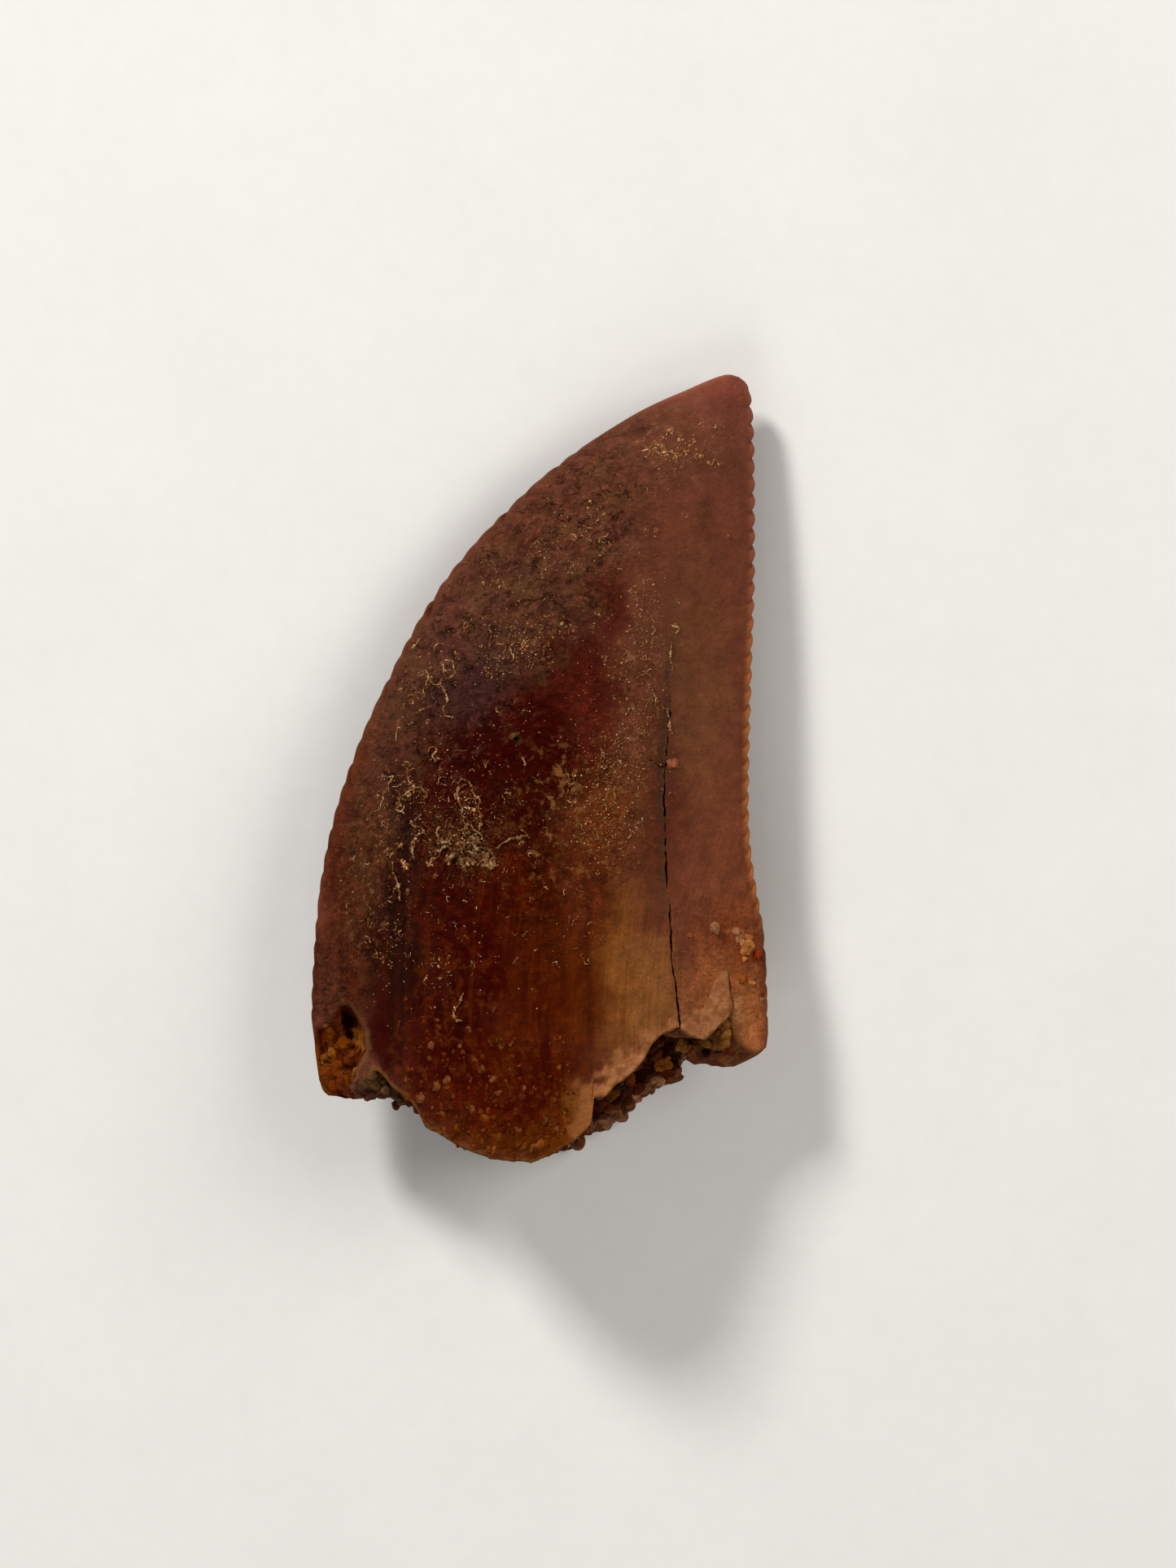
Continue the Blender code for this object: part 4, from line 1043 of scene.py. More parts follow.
def buildSpecksAndGlints():
    # tiny specks of sediment; the pale ones are painted highlights, glints scattered over the crust
    random = np.random.default_rng(52)
    places = [scatter(random, cluster, cluster[5]) for cluster in crust["clusters"]]
    x, y = np.concatenate([p[0] for p in places]), np.concatenate([p[1] for p in places])
    clumps = fractalNoise(np.stack([x * 1.6, y * 1.6, 0 * x], axis=-1), 56, 3)
    kept = onCrown(x, y) & (random.uniform(0, 1, len(x)) > 0.85 * bareMask(x, y))
    kept &= clumps > random.uniform(-0.35, 0.15, len(x))
    x, y = x[kept], y[kept]
    _, size = threadCover(x, y)
    low, high = crust["speckRadius"]
    radii = low + (high - low) * random.uniform(0, 1, len(x)) ** 2.2 * size
    centres = np.c_[x, y, faceHeight(x, y) + radii * 0.4]
    colours = pickColours(random, crust["colours"], len(x), crust["shares"])
    return grainPiece("crust_specks_and_glints", centres, radii, colours, 53, **crust["speckShape"])


threads = buildThreads()
crumbs = buildCrumbs()
specksAndGlints = buildSpecksAndGlints()
print("crust:", len(threads.data.polygons), "faces in threads,", len(crumbs.data.polygons), "in crumbs and",
      len(specksAndGlints.data.polygons), "in specks")


# Shader helpers
def addNode(tree, kind, inputs=None, **settings):
    made = tree.nodes.new(kind)
    for key, value in settings.items():
        setattr(made, key, value)
    for key, value in (inputs or {}).items():
        if isinstance(value, bpy.types.NodeSocket):
            tree.links.new(value, made.inputs[key])
        else:
            made.inputs[key].default_value = value
    return made


def mathOf(tree, operation, *values):
    return addNode(tree, "ShaderNodeMath", dict(enumerate(values)), operation=operation).outputs[0]


def times(tree, a, b):
    return mathOf(tree, "MULTIPLY", a, b)


def timesPlus(tree, a, b, c):            # a times b, plus c
    return mathOf(tree, "MULTIPLY_ADD", a, b, c)


def vectorOf(tree, operation, *values):
    return addNode(tree, "ShaderNodeVectorMath", dict(enumerate(values)), operation=operation).outputs[0]


def remap(tree, value, low, high, toLow=0.0, toHigh=1.0):
    inputs = {"Value": value, "From Min": low, "From Max": high, "To Min": toLow, "To Max": toHigh}
    return addNode(tree, "ShaderNodeMapRange", inputs, interpolation_type="SMOOTHSTEP").outputs["Result"]


def noiseOf(tree, place, scale, detail=2.0, rough=0.5):
    inputs = {"Vector": place, "Scale": scale, "Detail": detail, "Roughness": rough}
    return addNode(tree, "ShaderNodeTexNoise", inputs)


def mixOf(tree, mask, under, over, way="MIX"):
    made = addNode(tree, "ShaderNodeMix", {0: mask, 6: under, 7: over}, data_type="RGBA", blend_type=way)
    return made.outputs[2]


def shadeBy(tree, colour, factor):       # the colour times a grey
    return mixOf(tree, 1.0, colour, factor, "MULTIPLY")


def attributeOf(tree, name, output="Fac"):
    return addNode(tree, "ShaderNodeAttribute", attribute_name=name).outputs[output]


def rgb(colour):
    return (*colour, 1.0)


def makeGroup(name, inputs, outputs):
    # a node group with named sockets, each with its type and, for an input, its default
    group = bpy.data.node_groups.new(name, "ShaderNodeTree")
    for key, (kind, value) in inputs.items():
        socket = group.interface.new_socket(name=key, in_out="INPUT", socket_type=kind)
        if value is not None:
            socket.default_value = value
    for key, kind in outputs.items():
        group.interface.new_socket(name=key, in_out="OUTPUT", socket_type=kind)
    return group, group.nodes.new("NodeGroupInput").outputs, group.nodes.new("NodeGroupOutput").inputs


floatKind, vectorKind = "NodeSocketFloat", "NodeSocketVector"


def buildZoneGroup():                    # 1 inside a turned ellipse, with a soft edge
    group, given, out = makeGroup("softZone", {
        "Place": (vectorKind, None), "Centre": (vectorKind, None), "Radii": (vectorKind, (1, 1, 1)),
        "Turn": (floatKind, 0.0), "Softness": (floatKind, 0.5), "Strength": (floatKind, 1.0),
    }, {"Mask": floatKind})
    away = vectorOf(group, "SUBTRACT", given["Place"], given["Centre"])
    flat = vectorOf(group, "MULTIPLY", away, (1, 1, 0))
    back = times(group, given["Turn"], -1.0)
    turned = addNode(group, "ShaderNodeVectorRotate", {"Vector": flat, "Angle": back}, rotation_type="Z_AXIS")
    scaled = vectorOf(group, "DIVIDE", turned.outputs[0], given["Radii"])
    length = addNode(group, "ShaderNodeVectorMath", {0: scaled}, operation="LENGTH").outputs["Value"]
    far = mathOf(group, "ADD", 1.0, given["Softness"])
    near = mathOf(group, "SUBTRACT", 1.0, given["Softness"])
    mask = remap(group, length, far, near)
    group.links.new(times(group, mask, given["Strength"]), out["Mask"])
    return group


def buildGritGroup():                    # sparse grains of dirt, with their height
    group, given, out = makeGroup("grit", {
        "Place": (vectorKind, None), "Scale": (floatKind, 14.0), "Cover": (floatKind, 0.3),
    }, {"Mask": floatKind, "Height": floatKind})
    fine = noiseOf(group, given["Place"], given["Scale"], 3.0, 0.65).outputs[0]
    patch = noiseOf(group, given["Place"], times(group, given["Scale"], 0.12), 2.0).outputs[0]
    both = timesPlus(group, patch, 0.5, fine)
    edge = mathOf(group, "SUBTRACT", 1.02, times(group, given["Cover"], 0.5))
    mask = remap(group, mathOf(group, "SUBTRACT", both, edge), 0.0, 0.10)
    group.links.new(mask, out["Mask"])
    group.links.new(timesPlus(group, fine, 0.5, mask), out["Height"])
    return group


def buildMottleGroup():                  # a grey to multiply a colour by, uneven at two scales
    group, given, out = makeGroup("mottle", {
        "Place": (vectorKind, None), "Scale": (floatKind, 2.0), "Amount": (floatKind, 0.25),
    }, {"Value": floatKind})
    wide = noiseOf(group, given["Place"], given["Scale"], 4.0, 0.6).outputs[0]
    fine = noiseOf(group, given["Place"], times(group, given["Scale"], 9.0), 2.0).outputs[0]
    mixed = timesPlus(group, fine, 0.6, wide)
    centred = mathOf(group, "SUBTRACT", mixed, 0.8)
    scaled = times(group, centred, times(group, given["Amount"], 4.0))
    group.links.new(mathOf(group, "ADD", scaled, 1.0), out["Value"])
    return group


def buildThreadGroup():                  # wandering threads where a noise crosses its middle value
    group, given, out = makeGroup("threads", {
        "Place": (vectorKind, None), "Scale": (floatKind, 3.0), "Width": (floatKind, 0.02),
    }, {"Mask": floatKind})
    wave = noiseOf(group, given["Place"], given["Scale"], 3.0, 0.6).outputs[0]
    gap = mathOf(group, "ABSOLUTE", mathOf(group, "SUBTRACT", wave, 0.5))
    line = remap(group, gap, given["Width"], 0.0)
    gaps = noiseOf(group, given["Place"], times(group, given["Scale"], 0.8), 2.0).outputs[0]
    group.links.new(times(group, line, remap(group, gaps, 0.48, 0.58)), out["Mask"])
    return group


def buildCrystalGroup():                 # broken cells, each with a tone of its own
    group, given, out = makeGroup("crystals", {
        "Place": (vectorKind, None), "Scale": (floatKind, 4.0),
    }, {"Tone": floatKind})
    drift = noiseOf(group, given["Place"], times(group, given["Scale"], 1.5), 3.0).outputs["Color"]
    shaken = vectorOf(group, "SUBTRACT", drift, (0.5, 0.5, 0.5))
    spread = addNode(group, "ShaderNodeVectorMath", {0: shaken}, operation="SCALE")
    group.links.new(mathOf(group, "DIVIDE", 1.1, given["Scale"]), spread.inputs["Scale"])
    place = vectorOf(group, "ADD", given["Place"], spread.outputs[0])
    cells = addNode(group, "ShaderNodeTexVoronoi", {"Vector": place, "Scale": given["Scale"]})
    tone = addNode(group, "ShaderNodeSeparateXYZ", {0: cells.outputs["Color"]}).outputs[0]
    group.links.new(tone, out["Tone"])
    return group


zoneGroup = buildZoneGroup()
gritGroup = buildGritGroup()
mottleGroup = buildMottleGroup()
threadGroup = buildThreadGroup()
crystalGroup = buildCrystalGroup()


def useGroup(tree, group, **inputs):
    return addNode(tree, "ShaderNodeGroup", inputs, node_tree=group).outputs


def startMaterial(name):
    made = bpy.data.materials.new(name)
    made.use_nodes = True
    tree = made.node_tree
    shader = tree.nodes["Principled BSDF"]
    place = addNode(tree, "ShaderNodeTexCoord").outputs["Object"]
    return made, tree, shader, vectorOf(tree, "MULTIPLY", place, (1000, 1000, 1000))


def finishShader(tree, shader, colour, rough, height, look):
    # colour, roughness and bump vary, and the gloss is the same all over
    strength, distance = look["bump"]
    bump = addNode(tree, "ShaderNodeBump", {"Strength": strength, "Distance": distance, "Height": height})
    tree.links.new(colour, shader.inputs["Base Color"])
    tree.links.new(rough, shader.inputs["Roughness"])
    tree.links.new(bump.outputs["Normal"], shader.inputs["Normal"])
    shader.inputs["Specular IOR Level"].default_value = look["specular"]
    shader.inputs["Specular Tint"].default_value = rgb(look["specularTint"])


# The crown's finish
enamel = {
    "ground": (0.134, 0.038, 0.019),
    "tones": {
        "mauve": (0.130, 0.040, 0.021), "fawn": (0.150, 0.051, 0.020), "rose": (0.170, 0.047, 0.020),
        "blush": (0.220, 0.052, 0.035), "plum": (0.060, 0.018, 0.015), "wine": (0.064, 0.008, 0.0037),
        "ember": (0.036, 0.0012, 0.0004), "soot": (0.010, 0.0012, 0.0004), "umber": (0.030, 0.006, 0.005),
        "blood": (0.054, 0.0042, 0.0004), "rust": (0.080, 0.013, 0.0016), "brick": (0.110, 0.020, 0.006),
        "dusk": (0.088, 0.023, 0.008), "amber": (0.100, 0.021, 0.0008), "copper": (0.170, 0.034, 0.007),
        "coral": (0.210, 0.050, 0.014), "honey": (0.210, 0.068, 0.012), "straw": (0.240, 0.086, 0.022),
        "peach": (0.410, 0.130, 0.040),
    },
    "zones": [                           # centre, radii, turn, softness, strength, tone and brightness
        ((5.0, 10.0), (1.30, 1.00), 0.0, 0.6, 0.9, "blush", 1.0),         # the tip
        ((3.8, 8.8), (2.60, 1.50), 0.5, 0.6, 0.7, "mauve", 1.0),
        ((4.2, 3.3), (0.80, 2.60), 0.0, 0.6, 0.8, "fawn", 0.87),          # beside the serrations
        ((4.7, -3.2), (1.30, 2.40), 0.0, 0.5, 0.8, "rose", 1.0),
        ((-0.3, -2.1), (3.70, 5.40), -0.10, 0.30, 1.0, "ember", 1.1),     # the dark red heart
        ((-1.3, 3.3), (2.60, 1.50), 0.85, 0.4, 1.0, "plum", 1.0),         # the worn slanting band
        # the mauve zones on the slanting upper left are partly a painted sheen, the soft reflection of light
        # on that slope
        ((-0.3, 4.3), (1.30, 1.10), 0.3, 0.5, 0.8, "mauve", 0.82),
        ((-2.6, 4.0), (1.00, 2.00), -0.6, 0.5, 0.8, "mauve", 1.0),
        ((0.4, 2.7), (0.90, 0.55), 0.3, 0.6, 0.8, "umber", 1.1),
        ((1.85, 4.85), (0.50, 1.60), 0.0, 0.6, 0.9, "wine", 1.0),
        ((1.9, 6.1), (0.80, 0.90), 0.0, 0.6, 0.8, "mauve", 1.1),
        ((4.4, 0.8), (0.70, 1.80), 0.0, 0.6, 0.8, "fawn", 1.0),
        ((2.2, 0.3), (0.85, 2.40), 0.0, 0.6, 0.9, "rose", 1.05),          # left of the crack
        ((0.7, 1.75), (1.40, 1.90), -0.2, 0.60, 1.0, "wine", 1.0),
        ((-0.5, -0.6), (2.20, 1.70), 0.3, 0.5, 1.0, "ember", 0.9),
        ((1.55, -1.45), (1.00, 1.50), 0.0, 0.6, 0.8, "copper", 1.0),
        ((2.7, -4.9), (0.95, 2.80), -0.08, 0.75, 1.0, "rose", 0.78),
        ((0.6, -5.4), (1.30, 3.00), 0.0, 0.5, 0.9, "rust", 1.0),          # the streaked lower half
        ((0.0, 1.2), (0.65, 0.80), 0.0, 0.6, 0.8, "ember", 1.05),
        ((0.1, -0.6), (0.75, 0.90), 0.0, 0.6, 0.8, "ember", 1.0),
        ((-0.6, -3.2), (1.10, 1.20), 0.0, 0.6, 0.8, "blood", 1.0),
        ((1.1, -3.3), (0.50, 0.90), 0.0, 0.6, 0.8, "brick", 1.1),
        ((0.0, -5.9), (0.70, 1.20), 0.0, 0.6, 0.8, "blood", 0.92),
        ((1.2, 0.0), (0.50, 0.65), 0.0, 0.6, 0.8, "ember", 1.2),
        ((1.45, 1.1), (0.50, 1.20), 0.0, 0.6, 0.8, "wine", 1.6),
        ((2.2, -5.8), (0.55, 2.20), 0.0, 0.9, 0.9, "honey", 1.0),         # the golden band
        ((-0.9, -8.3), (2.60, 1.40), -0.25, 0.4, 1.0, "blood", 1.1),
        ((-3.25, -5.6), (0.45, 1.20), 0.0, 0.6, 0.9, "soot", 1.0),
        ((2.95, -6.1), (0.75, 1.30), 0.0, 0.5, 0.9, "straw", 1.0),
        ((-5.1, -3.0), (0.80, 4.10), 0.0, 0.35, 1.0, "brick", 0.8),       # the left strip
        ((-4.95, -0.4), (0.65, 1.60), -0.25, 0.5, 0.8, "brick", 1.18),
        ((-4.6, -2.6), (0.48, 1.90), 0.0, 0.6, 0.9, "dusk", 1.0),
        ((-4.25, -5.6), (0.45, 1.90), 0.0, 0.5, 0.9, "ember", 0.6),
        ((-4.0, 0.9), (0.65, 2.00), -0.3, 0.6, 0.8, "mauve", 0.77),
        ((-3.75, -4.3), (0.30, 3.30), 0.0, 0.7, 0.8, "soot", 1.0),        # the dark groove
        ((-3.6, -1.4), (0.35, 1.70), 0.15, 0.7, 0.8, "umber", 0.8),
        ((-2.7, -7.1), (1.10, 1.30), 0.0, 0.6, 0.9, "ember", 1.2),
        ((-1.1, -9.3), (2.70, 0.75), -0.25, 0.5, 0.8, "blood", 1.25),
        ((-2.1, -6.3), (0.75, 0.90), 0.0, 0.6, 0.8, "ember", 0.5),
        ((-4.05, -7.2), (0.38, 0.90), 0.1, 0.6, 0.9, "ember", 0.8),
        ((-0.5, -9.8), (1.70, 0.40), 0.0, 0.7, 0.9, "amber", 0.9),        # the lit lower rim
        ((0.8, -9.6), (0.85, 0.65), 0.6, 0.6, 0.9, "amber", 1.13),
        ((1.05, -9.0), (0.45, 0.65), 0.0, 0.6, 0.8, "honey", 0.85),
        ((5.7, -6.7), (0.50, 1.20), 0.0, 0.5, 0.9, "peach", 1.0),         # the pale right corner
        ((3.2, 0.6), (0.14, 0.75), 0.0, 0.7, 0.5, "fawn", 0.5),
        ((4.5, -5.2), (0.45, 0.70), 0.0, 0.6, 0.9, "mauve", 1.4),
        ((5.0, -5.2), (0.95, 1.50), 0.0, 0.5, 0.8, "coral", 1.0),
        ((-5.7, -5.7), (0.50, 1.10), 0.0, 0.5, 0.8, "dusk", 1.1),
        ((4.9, -6.0), (1.10, 0.90), 0.0, 0.6, 0.6, "peach", 0.87),
    ],
    "marks": [                           # the same with a colour, for small marks that keep their places
        ((0.18, -7.54), (0.15, 0.55), 0.0, 0.3, 0.9, (0.046, 0.0018, 0.0008)),
        ((-3.92, -4.60), (0.05, 2.70), 0.02, 0.9, 0.8, (0.010, 0.004, 0.001)),
        ((-3.62, -6.20), (0.06, 1.70), -0.02, 0.9, 0.7, (0.010, 0.002, 0.001)),
        ((-4.06, -3.20), (0.04, 1.50), -0.05, 0.9, 0.7, (0.012, 0.004, 0.001)),
        ((1.30, -5.60), (0.07, 1.90), 0.03, 0.9, 0.35, (0.030, 0.004, 0.001)),
        ((-0.66, 0.82), (0.11, 0.07), 0.6, 0.7, 0.9, (0.160, 0.085, 0.032)),
        ((-0.51, 0.67), (0.08, 0.05), 0.6, 0.8, 0.5, (0.110, 0.048, 0.016)),
        ((-0.60, 0.73), (0.07, 0.06), 0.4, 0.35, 1.0, (0.004, 0.009, 0.007)),
        ((0.22, -7.30), (0.05, 0.9), 0.0, 0.5, 0.7, (0.040, 0.004, 0.001)),
    ],
    "dustZones": [                       # where dried sediment clings: centre, radii, turn, strength
        ((-3.34, 2.46), (1.1, 1.4), 0.0, 0.9), ((-3.88, -0.59), (1.1, 1.1), 0.0, 0.9),
        ((-2.05, -1.75), (1.4, 1.3), 0.2, 1.0), ((0.0, 5.6), (3.0, 1.5), 0.8, 0.8),
        ((1.77, -0.91), (1.5, 1.8), 0.0, 0.8), ((3.0, 3.1), (0.8, 2.2), 0.0, 0.9),
        ((-4.7, -3.4), (0.6, 2.2), 0.0, 0.8), ((3.6, 8.6), (1.5, 0.9), 0.4, 0.7),
        ((0.2, 3.6), (1.6, 1.0), 0.5, 0.8),
    ],
    "worn": [                            # flaked and creviced places: centre, radii, turn, softness, strength
        ((-0.9, 4.0), (2.0, 6.2), -0.6, 0.35, 1.0), ((-3.6, -1.4), (1.5, 3.4), 0.1, 0.4, 0.7),
    ],
    "grainy": [                          # the same, for places that are only granular
        ((-1.3, 0.0), (4.3, 4.8), 0.0, 0.25, 0.85), ((-5.6, -5.4), (0.7, 1.3), 0.0, 0.4, 1.0),
        ((-4.9, -2.8), (0.8, 3.0), 0.0, 0.4, 1.0), ((1.9, 0.4), (1.2, 2.8), 0.0, 0.4, 0.8),
        ((4.8, -5.6), (1.3, 1.8), 0.0, 0.4, 0.50), ((-1.6, -8.4), (2.6, 1.7), -0.25, 0.4, 0.5),
    ],
    "redHalf": ((-0.6, -5.6), (2.9, 4.6), 0.0, 0.3, 1.0),        # where translucent grains glow
    "bruised": ((-5.6, -5.5), (0.8, 1.3), 0.0, 0.4, 1.0),        # one more creviced place
    "heapGround": ((-1.95, -2.05), (0.85, 0.50), -0.35, 0.5, 0.4),
    "corner": ((-5.8, -8.6), (0.75, 1.2), 0.0, 0.25, 1.0),       # bare dentine on the broken wall
    "dust": (0.150, 0.070, 0.024), "thread": (0.30, 0.16, 0.06),
    # the second of these is a painted shade, for the shallow groove left of the crack
    "crackColour": (0.020, 0.005, 0.002), "troughShade": (0.062, 0.031, 0.017),
    "denticle": (0.380, 0.124, 0.034), "denticleHigh": (0.240, 0.072, 0.040), "groove": (0.070, 0.014, 0.005),
    "glow": (0.130, 0.022, 0.0018),      # translucent grains of the lower half
    "dentine": [(0.030, 0.004, 0.001), (0.090, 0.014, 0.001), (0.210, 0.066, 0.008), (0.140, 0.029, 0.002)],
    "ridge": (0.150, 0.072, 0.028), "edgeLow": (0.125, 0.028, 0.010), "edgeHigh": (0.170, 0.050, 0.022),
    # the gold of the rim is a painted highlight along the broken edge
    "peach": (0.430, 0.180, 0.072), "peachDeep": (0.270, 0.086, 0.026), "rimHighlight": (0.190, 0.074, 0.017),
    "peachLeft": (0.310, 0.105, 0.030),
    "inlays": [                          # clumps of grains: the same five, scale, colour and colour between
        ((-1.7, -8.5), (2.5, 1.8), -0.25, 0.3, 1.0, 3.3, (0.110, 0.020, 0.002), (0.034, 0.0010, 0.0003)),
        ((1.0, -1.3), (1.5, 2.0), 0.0, 0.5, 0.9, 4.2, (0.290, 0.110, 0.030), (0.060, 0.0090, 0.0020)),
        ((-0.5, -2.4), (1.8, 1.6), 0.3, 0.5, 0.8, 4.6, (0.120, 0.032, 0.006), (0.024, 0.0010, 0.0003)),
        ((2.6, 1.8), (0.6, 2.2), 0.0, 0.6, 0.8, 4.6, (0.270, 0.120, 0.050), (0.085, 0.0200, 0.0090)),
        ((-4.8, -3.0), (0.8, 2.2), 0.0, 0.5, 1.0, 5.0, (0.180, 0.072, 0.026), (0.028, 0.0045, 0.0020)),
        ((-2.0, 0.8), (1.8, 1.2), 0.5, 0.5, 1.0, 5.2, (0.100, 0.032, 0.018), (0.018, 0.0020, 0.0010)),
        ((-1.9, -5.7), (1.5, 1.2), 0.0, 0.5, 0.7, 5.0, (0.095, 0.018, 0.003), (0.022, 0.0010, 0.0003)),
        ((0.0, 4.6), (1.9, 1.5), 0.6, 0.5, 0.7, 3.6, (0.190, 0.078, 0.034), (0.055, 0.0140, 0.0070)),
        ((3.7, 8.6), (1.3, 0.8), 0.3, 0.6, 0.7, 4.2, (0.300, 0.120, 0.050), (0.110, 0.0320, 0.0170)),
    ],
    "edgeBlot": (0.070, 0.010, 0.003),
    "flake": (0.115, 0.052, 0.020), "bruise": (0.075, 0.023, 0.020),
    "wallRim": (0.150, 0.056, 0.013), "wall": (0.095, 0.026, 0.010),
    "roughness": 0.42, "specular": 0.03, "specularTint": (1.0, 0.34, 0.15),
    "bump": (0.9, 0.00003),              # strength, and depth in metres
}


def zoneMask(tree, place, centre, radii, turn, soft, strength):
    return useGroup(tree, zoneGroup, Place=place, Centre=(*centre, 0), Radii=(*radii, 1), Turn=turn,
                    Softness=soft, Strength=strength)["Mask"]


def anyZone(tree, place, shapes):
    found = zoneMask(tree, place, *shapes[0])
    for shape in shapes[1:]:
        found = mathOf(tree, "MAXIMUM", found, zoneMask(tree, place, *shape))
    return found


def dressCrown():
    look = enamel
    made, tree, shader, place = startMaterial("fossil_enamel")
    drift = noiseOf(tree, place, 0.9, 3.0).outputs["Color"]
    ripple = noiseOf(tree, place, 4.5, 2.0).outputs["Color"]
    wide = vectorOf(tree, "MULTIPLY", vectorOf(tree, "SUBTRACT", drift, (0.5, 0.5, 0.5)), (1.1, 1.6, 0))
    small = vectorOf(tree, "MULTIPLY", vectorOf(tree, "SUBTRACT", ripple, (0.5, 0.5, 0.5)), (0.35, 0.6, 0))
    wavy = vectorOf(tree, "ADD", vectorOf(tree, "ADD", place, wide), small)
    steady = vectorOf(tree, "ADD", place, vectorOf(tree, "MULTIPLY", small, (0.3, 0.3, 0)))

    colour = rgb(look["ground"])
    for *shape, tone, bright in look["zones"]:
        tint = [bright * part for part in look["tones"][tone]]
        colour = mixOf(tree, zoneMask(tree, wavy, *shape), colour, rgb(tint))

    # streaks that run from base to tip, strongest in the lower half
    follow = attributeOf(tree, "along", "Vector")
    fineStreak = noiseOf(tree, vectorOf(tree, "MULTIPLY", follow, (15, 0.9, 3)), 1.0, 4.0, 0.65).outputs[0]
    wideStreak = noiseOf(tree, vectorOf(tree, "MULTIPLY", follow, (3.6, 0.30, 3)), 1.0, 4.0, 0.65).outputs[0]
    across, up, _ = addNode(tree, "ShaderNodeSeparateXYZ", {0: place}).outputs
    streaked = remap(tree, up, 1.5, -4.0, 0.15, 1.0)
    streak = timesPlus(tree, wideStreak, 0.7, fineStreak)
    shade = times(tree, mathOf(tree, "SUBTRACT", streak, 0.85), times(tree, streaked, 0.9))
    colour = shadeBy(tree, colour, mathOf(tree, "ADD", shade, 1.0))

    # translucent orange grains in the red lower half
    amber = noiseOf(tree, vectorOf(tree, "MULTIPLY", place, (3.4, 2.2, 1)), 1.0, 5.0, 0.62).outputs[0]
    below = remap(tree, up, -2.5, -6.5, 0.12, 0.55)
    red = zoneMask(tree, wavy, *look["redHalf"])
    glow = times(tree, remap(tree, amber, 0.48, 0.66), times(tree, below, red))
    streakGlow = times(tree, remap(tree, wideStreak, 0.50, 0.68, 0.0, 0.35), red)
    colour = mixOf(tree, mathOf(tree, "MAXIMUM", glow, streakGlow), colour, rgb(look["glow"]))
    mottle = useGroup(tree, mottleGroup, Place=place, Scale=1.9, Amount=0.26)["Value"]
    colour = shadeBy(tree, colour, mottle)

    # granular wear: tone patches, crevices and a few pits, strongest in the slanting band
    worn = anyZone(tree, wavy, look["worn"])
    slant = vectorOf(tree, "MULTIPLY", place, (1.0, 1.3, 1))
    fine = noiseOf(tree, slant, 7.5, 5.0, 0.72).outputs[0]
    coarse = noiseOf(tree, slant, 2.6, 5.0, 0.66).outputs[0]
    patches = noiseOf(tree, place, 1.3, 4.0, 0.6).outputs[0]
    wear = mathOf(tree, "MAXIMUM", worn, anyZone(tree, wavy, look["grainy"]))
    wear = timesPlus(tree, wear, 0.80, 0.20)
    high = times(tree, worn, remap(tree, up, -0.2, 3.2, 0.16, 1.0))
    for start, end, tint in ((0.50, 0.62, "flake"), (0.47, 0.36, "bruise")):
        share = times(tree, remap(tree, patches, start, end, 0.0, 0.36), high)
        colour = mixOf(tree, share, colour, rgb(look[tint]))
    crevice = useGroup(tree, threadGroup, Place=slant, Scale=2.2, Width=0.045)["Mask"]
    bruised = zoneMask(tree, wavy, *look["bruised"])
    crevice = times(tree, crevice, mathOf(tree, "MAXIMUM", worn, bruised))
    # partly random tone, partly painted light and shade: lighter where the coarse bump rises, darker where it
    # sinks
    tone = times(tree, mathOf(tree, "SUBTRACT", coarse, 0.5), times(tree, wear, 2.3))
    colour = shadeBy(tree, colour, mathOf(tree, "ADD", tone, 1.0))
    # painted shade in the pits and crevices, and painted highlights, as pale glints, on the raised grains
    hollowShade = times(tree, remap(tree, fine, 0.44, 0.35, 0.0, 0.60), wear)
    hollowShade = mathOf(tree, "MAXIMUM", hollowShade, times(tree, crevice, 0.70))
    glint = times(tree, remap(tree, fine, 0.54, 0.66, 0.0, 0.80), wear)
    colour = shadeBy(tree, colour, mathOf(tree, "SUBTRACT", 1.0, hollowShade))
    colour = shadeBy(tree, colour, timesPlus(tree, glint, 1.1, 1.0))
    for *shape, tint in look["marks"]:
        colour = mixOf(tree, zoneMask(tree, steady, *shape), colour, rgb(tint))

    # clumps of grains set into the surface, and darker blots between them
    blot = noiseOf(tree, place, 3.3, 3.0, 0.55).outputs[0]
    raised = 0.0
    for *shape, scale, tint, deep in look["inlays"]:
        clumps = noiseOf(tree, steady, scale, 4.0, 0.6).outputs[0]
        inlay = zoneMask(tree, wavy, *shape)
        inlaid = times(tree, remap(tree, clumps, 0.53, 0.66, 0.0, 0.85), inlay)
        colour = mixOf(tree, inlaid, colour, rgb(tint))
        sunk = times(tree, remap(tree, clumps, 0.46, 0.34, 0.0, 0.65), inlay)
        colour = mixOf(tree, sunk, colour, rgb(deep))
        raised = mathOf(tree, "MAXIMUM", raised, inlaid)

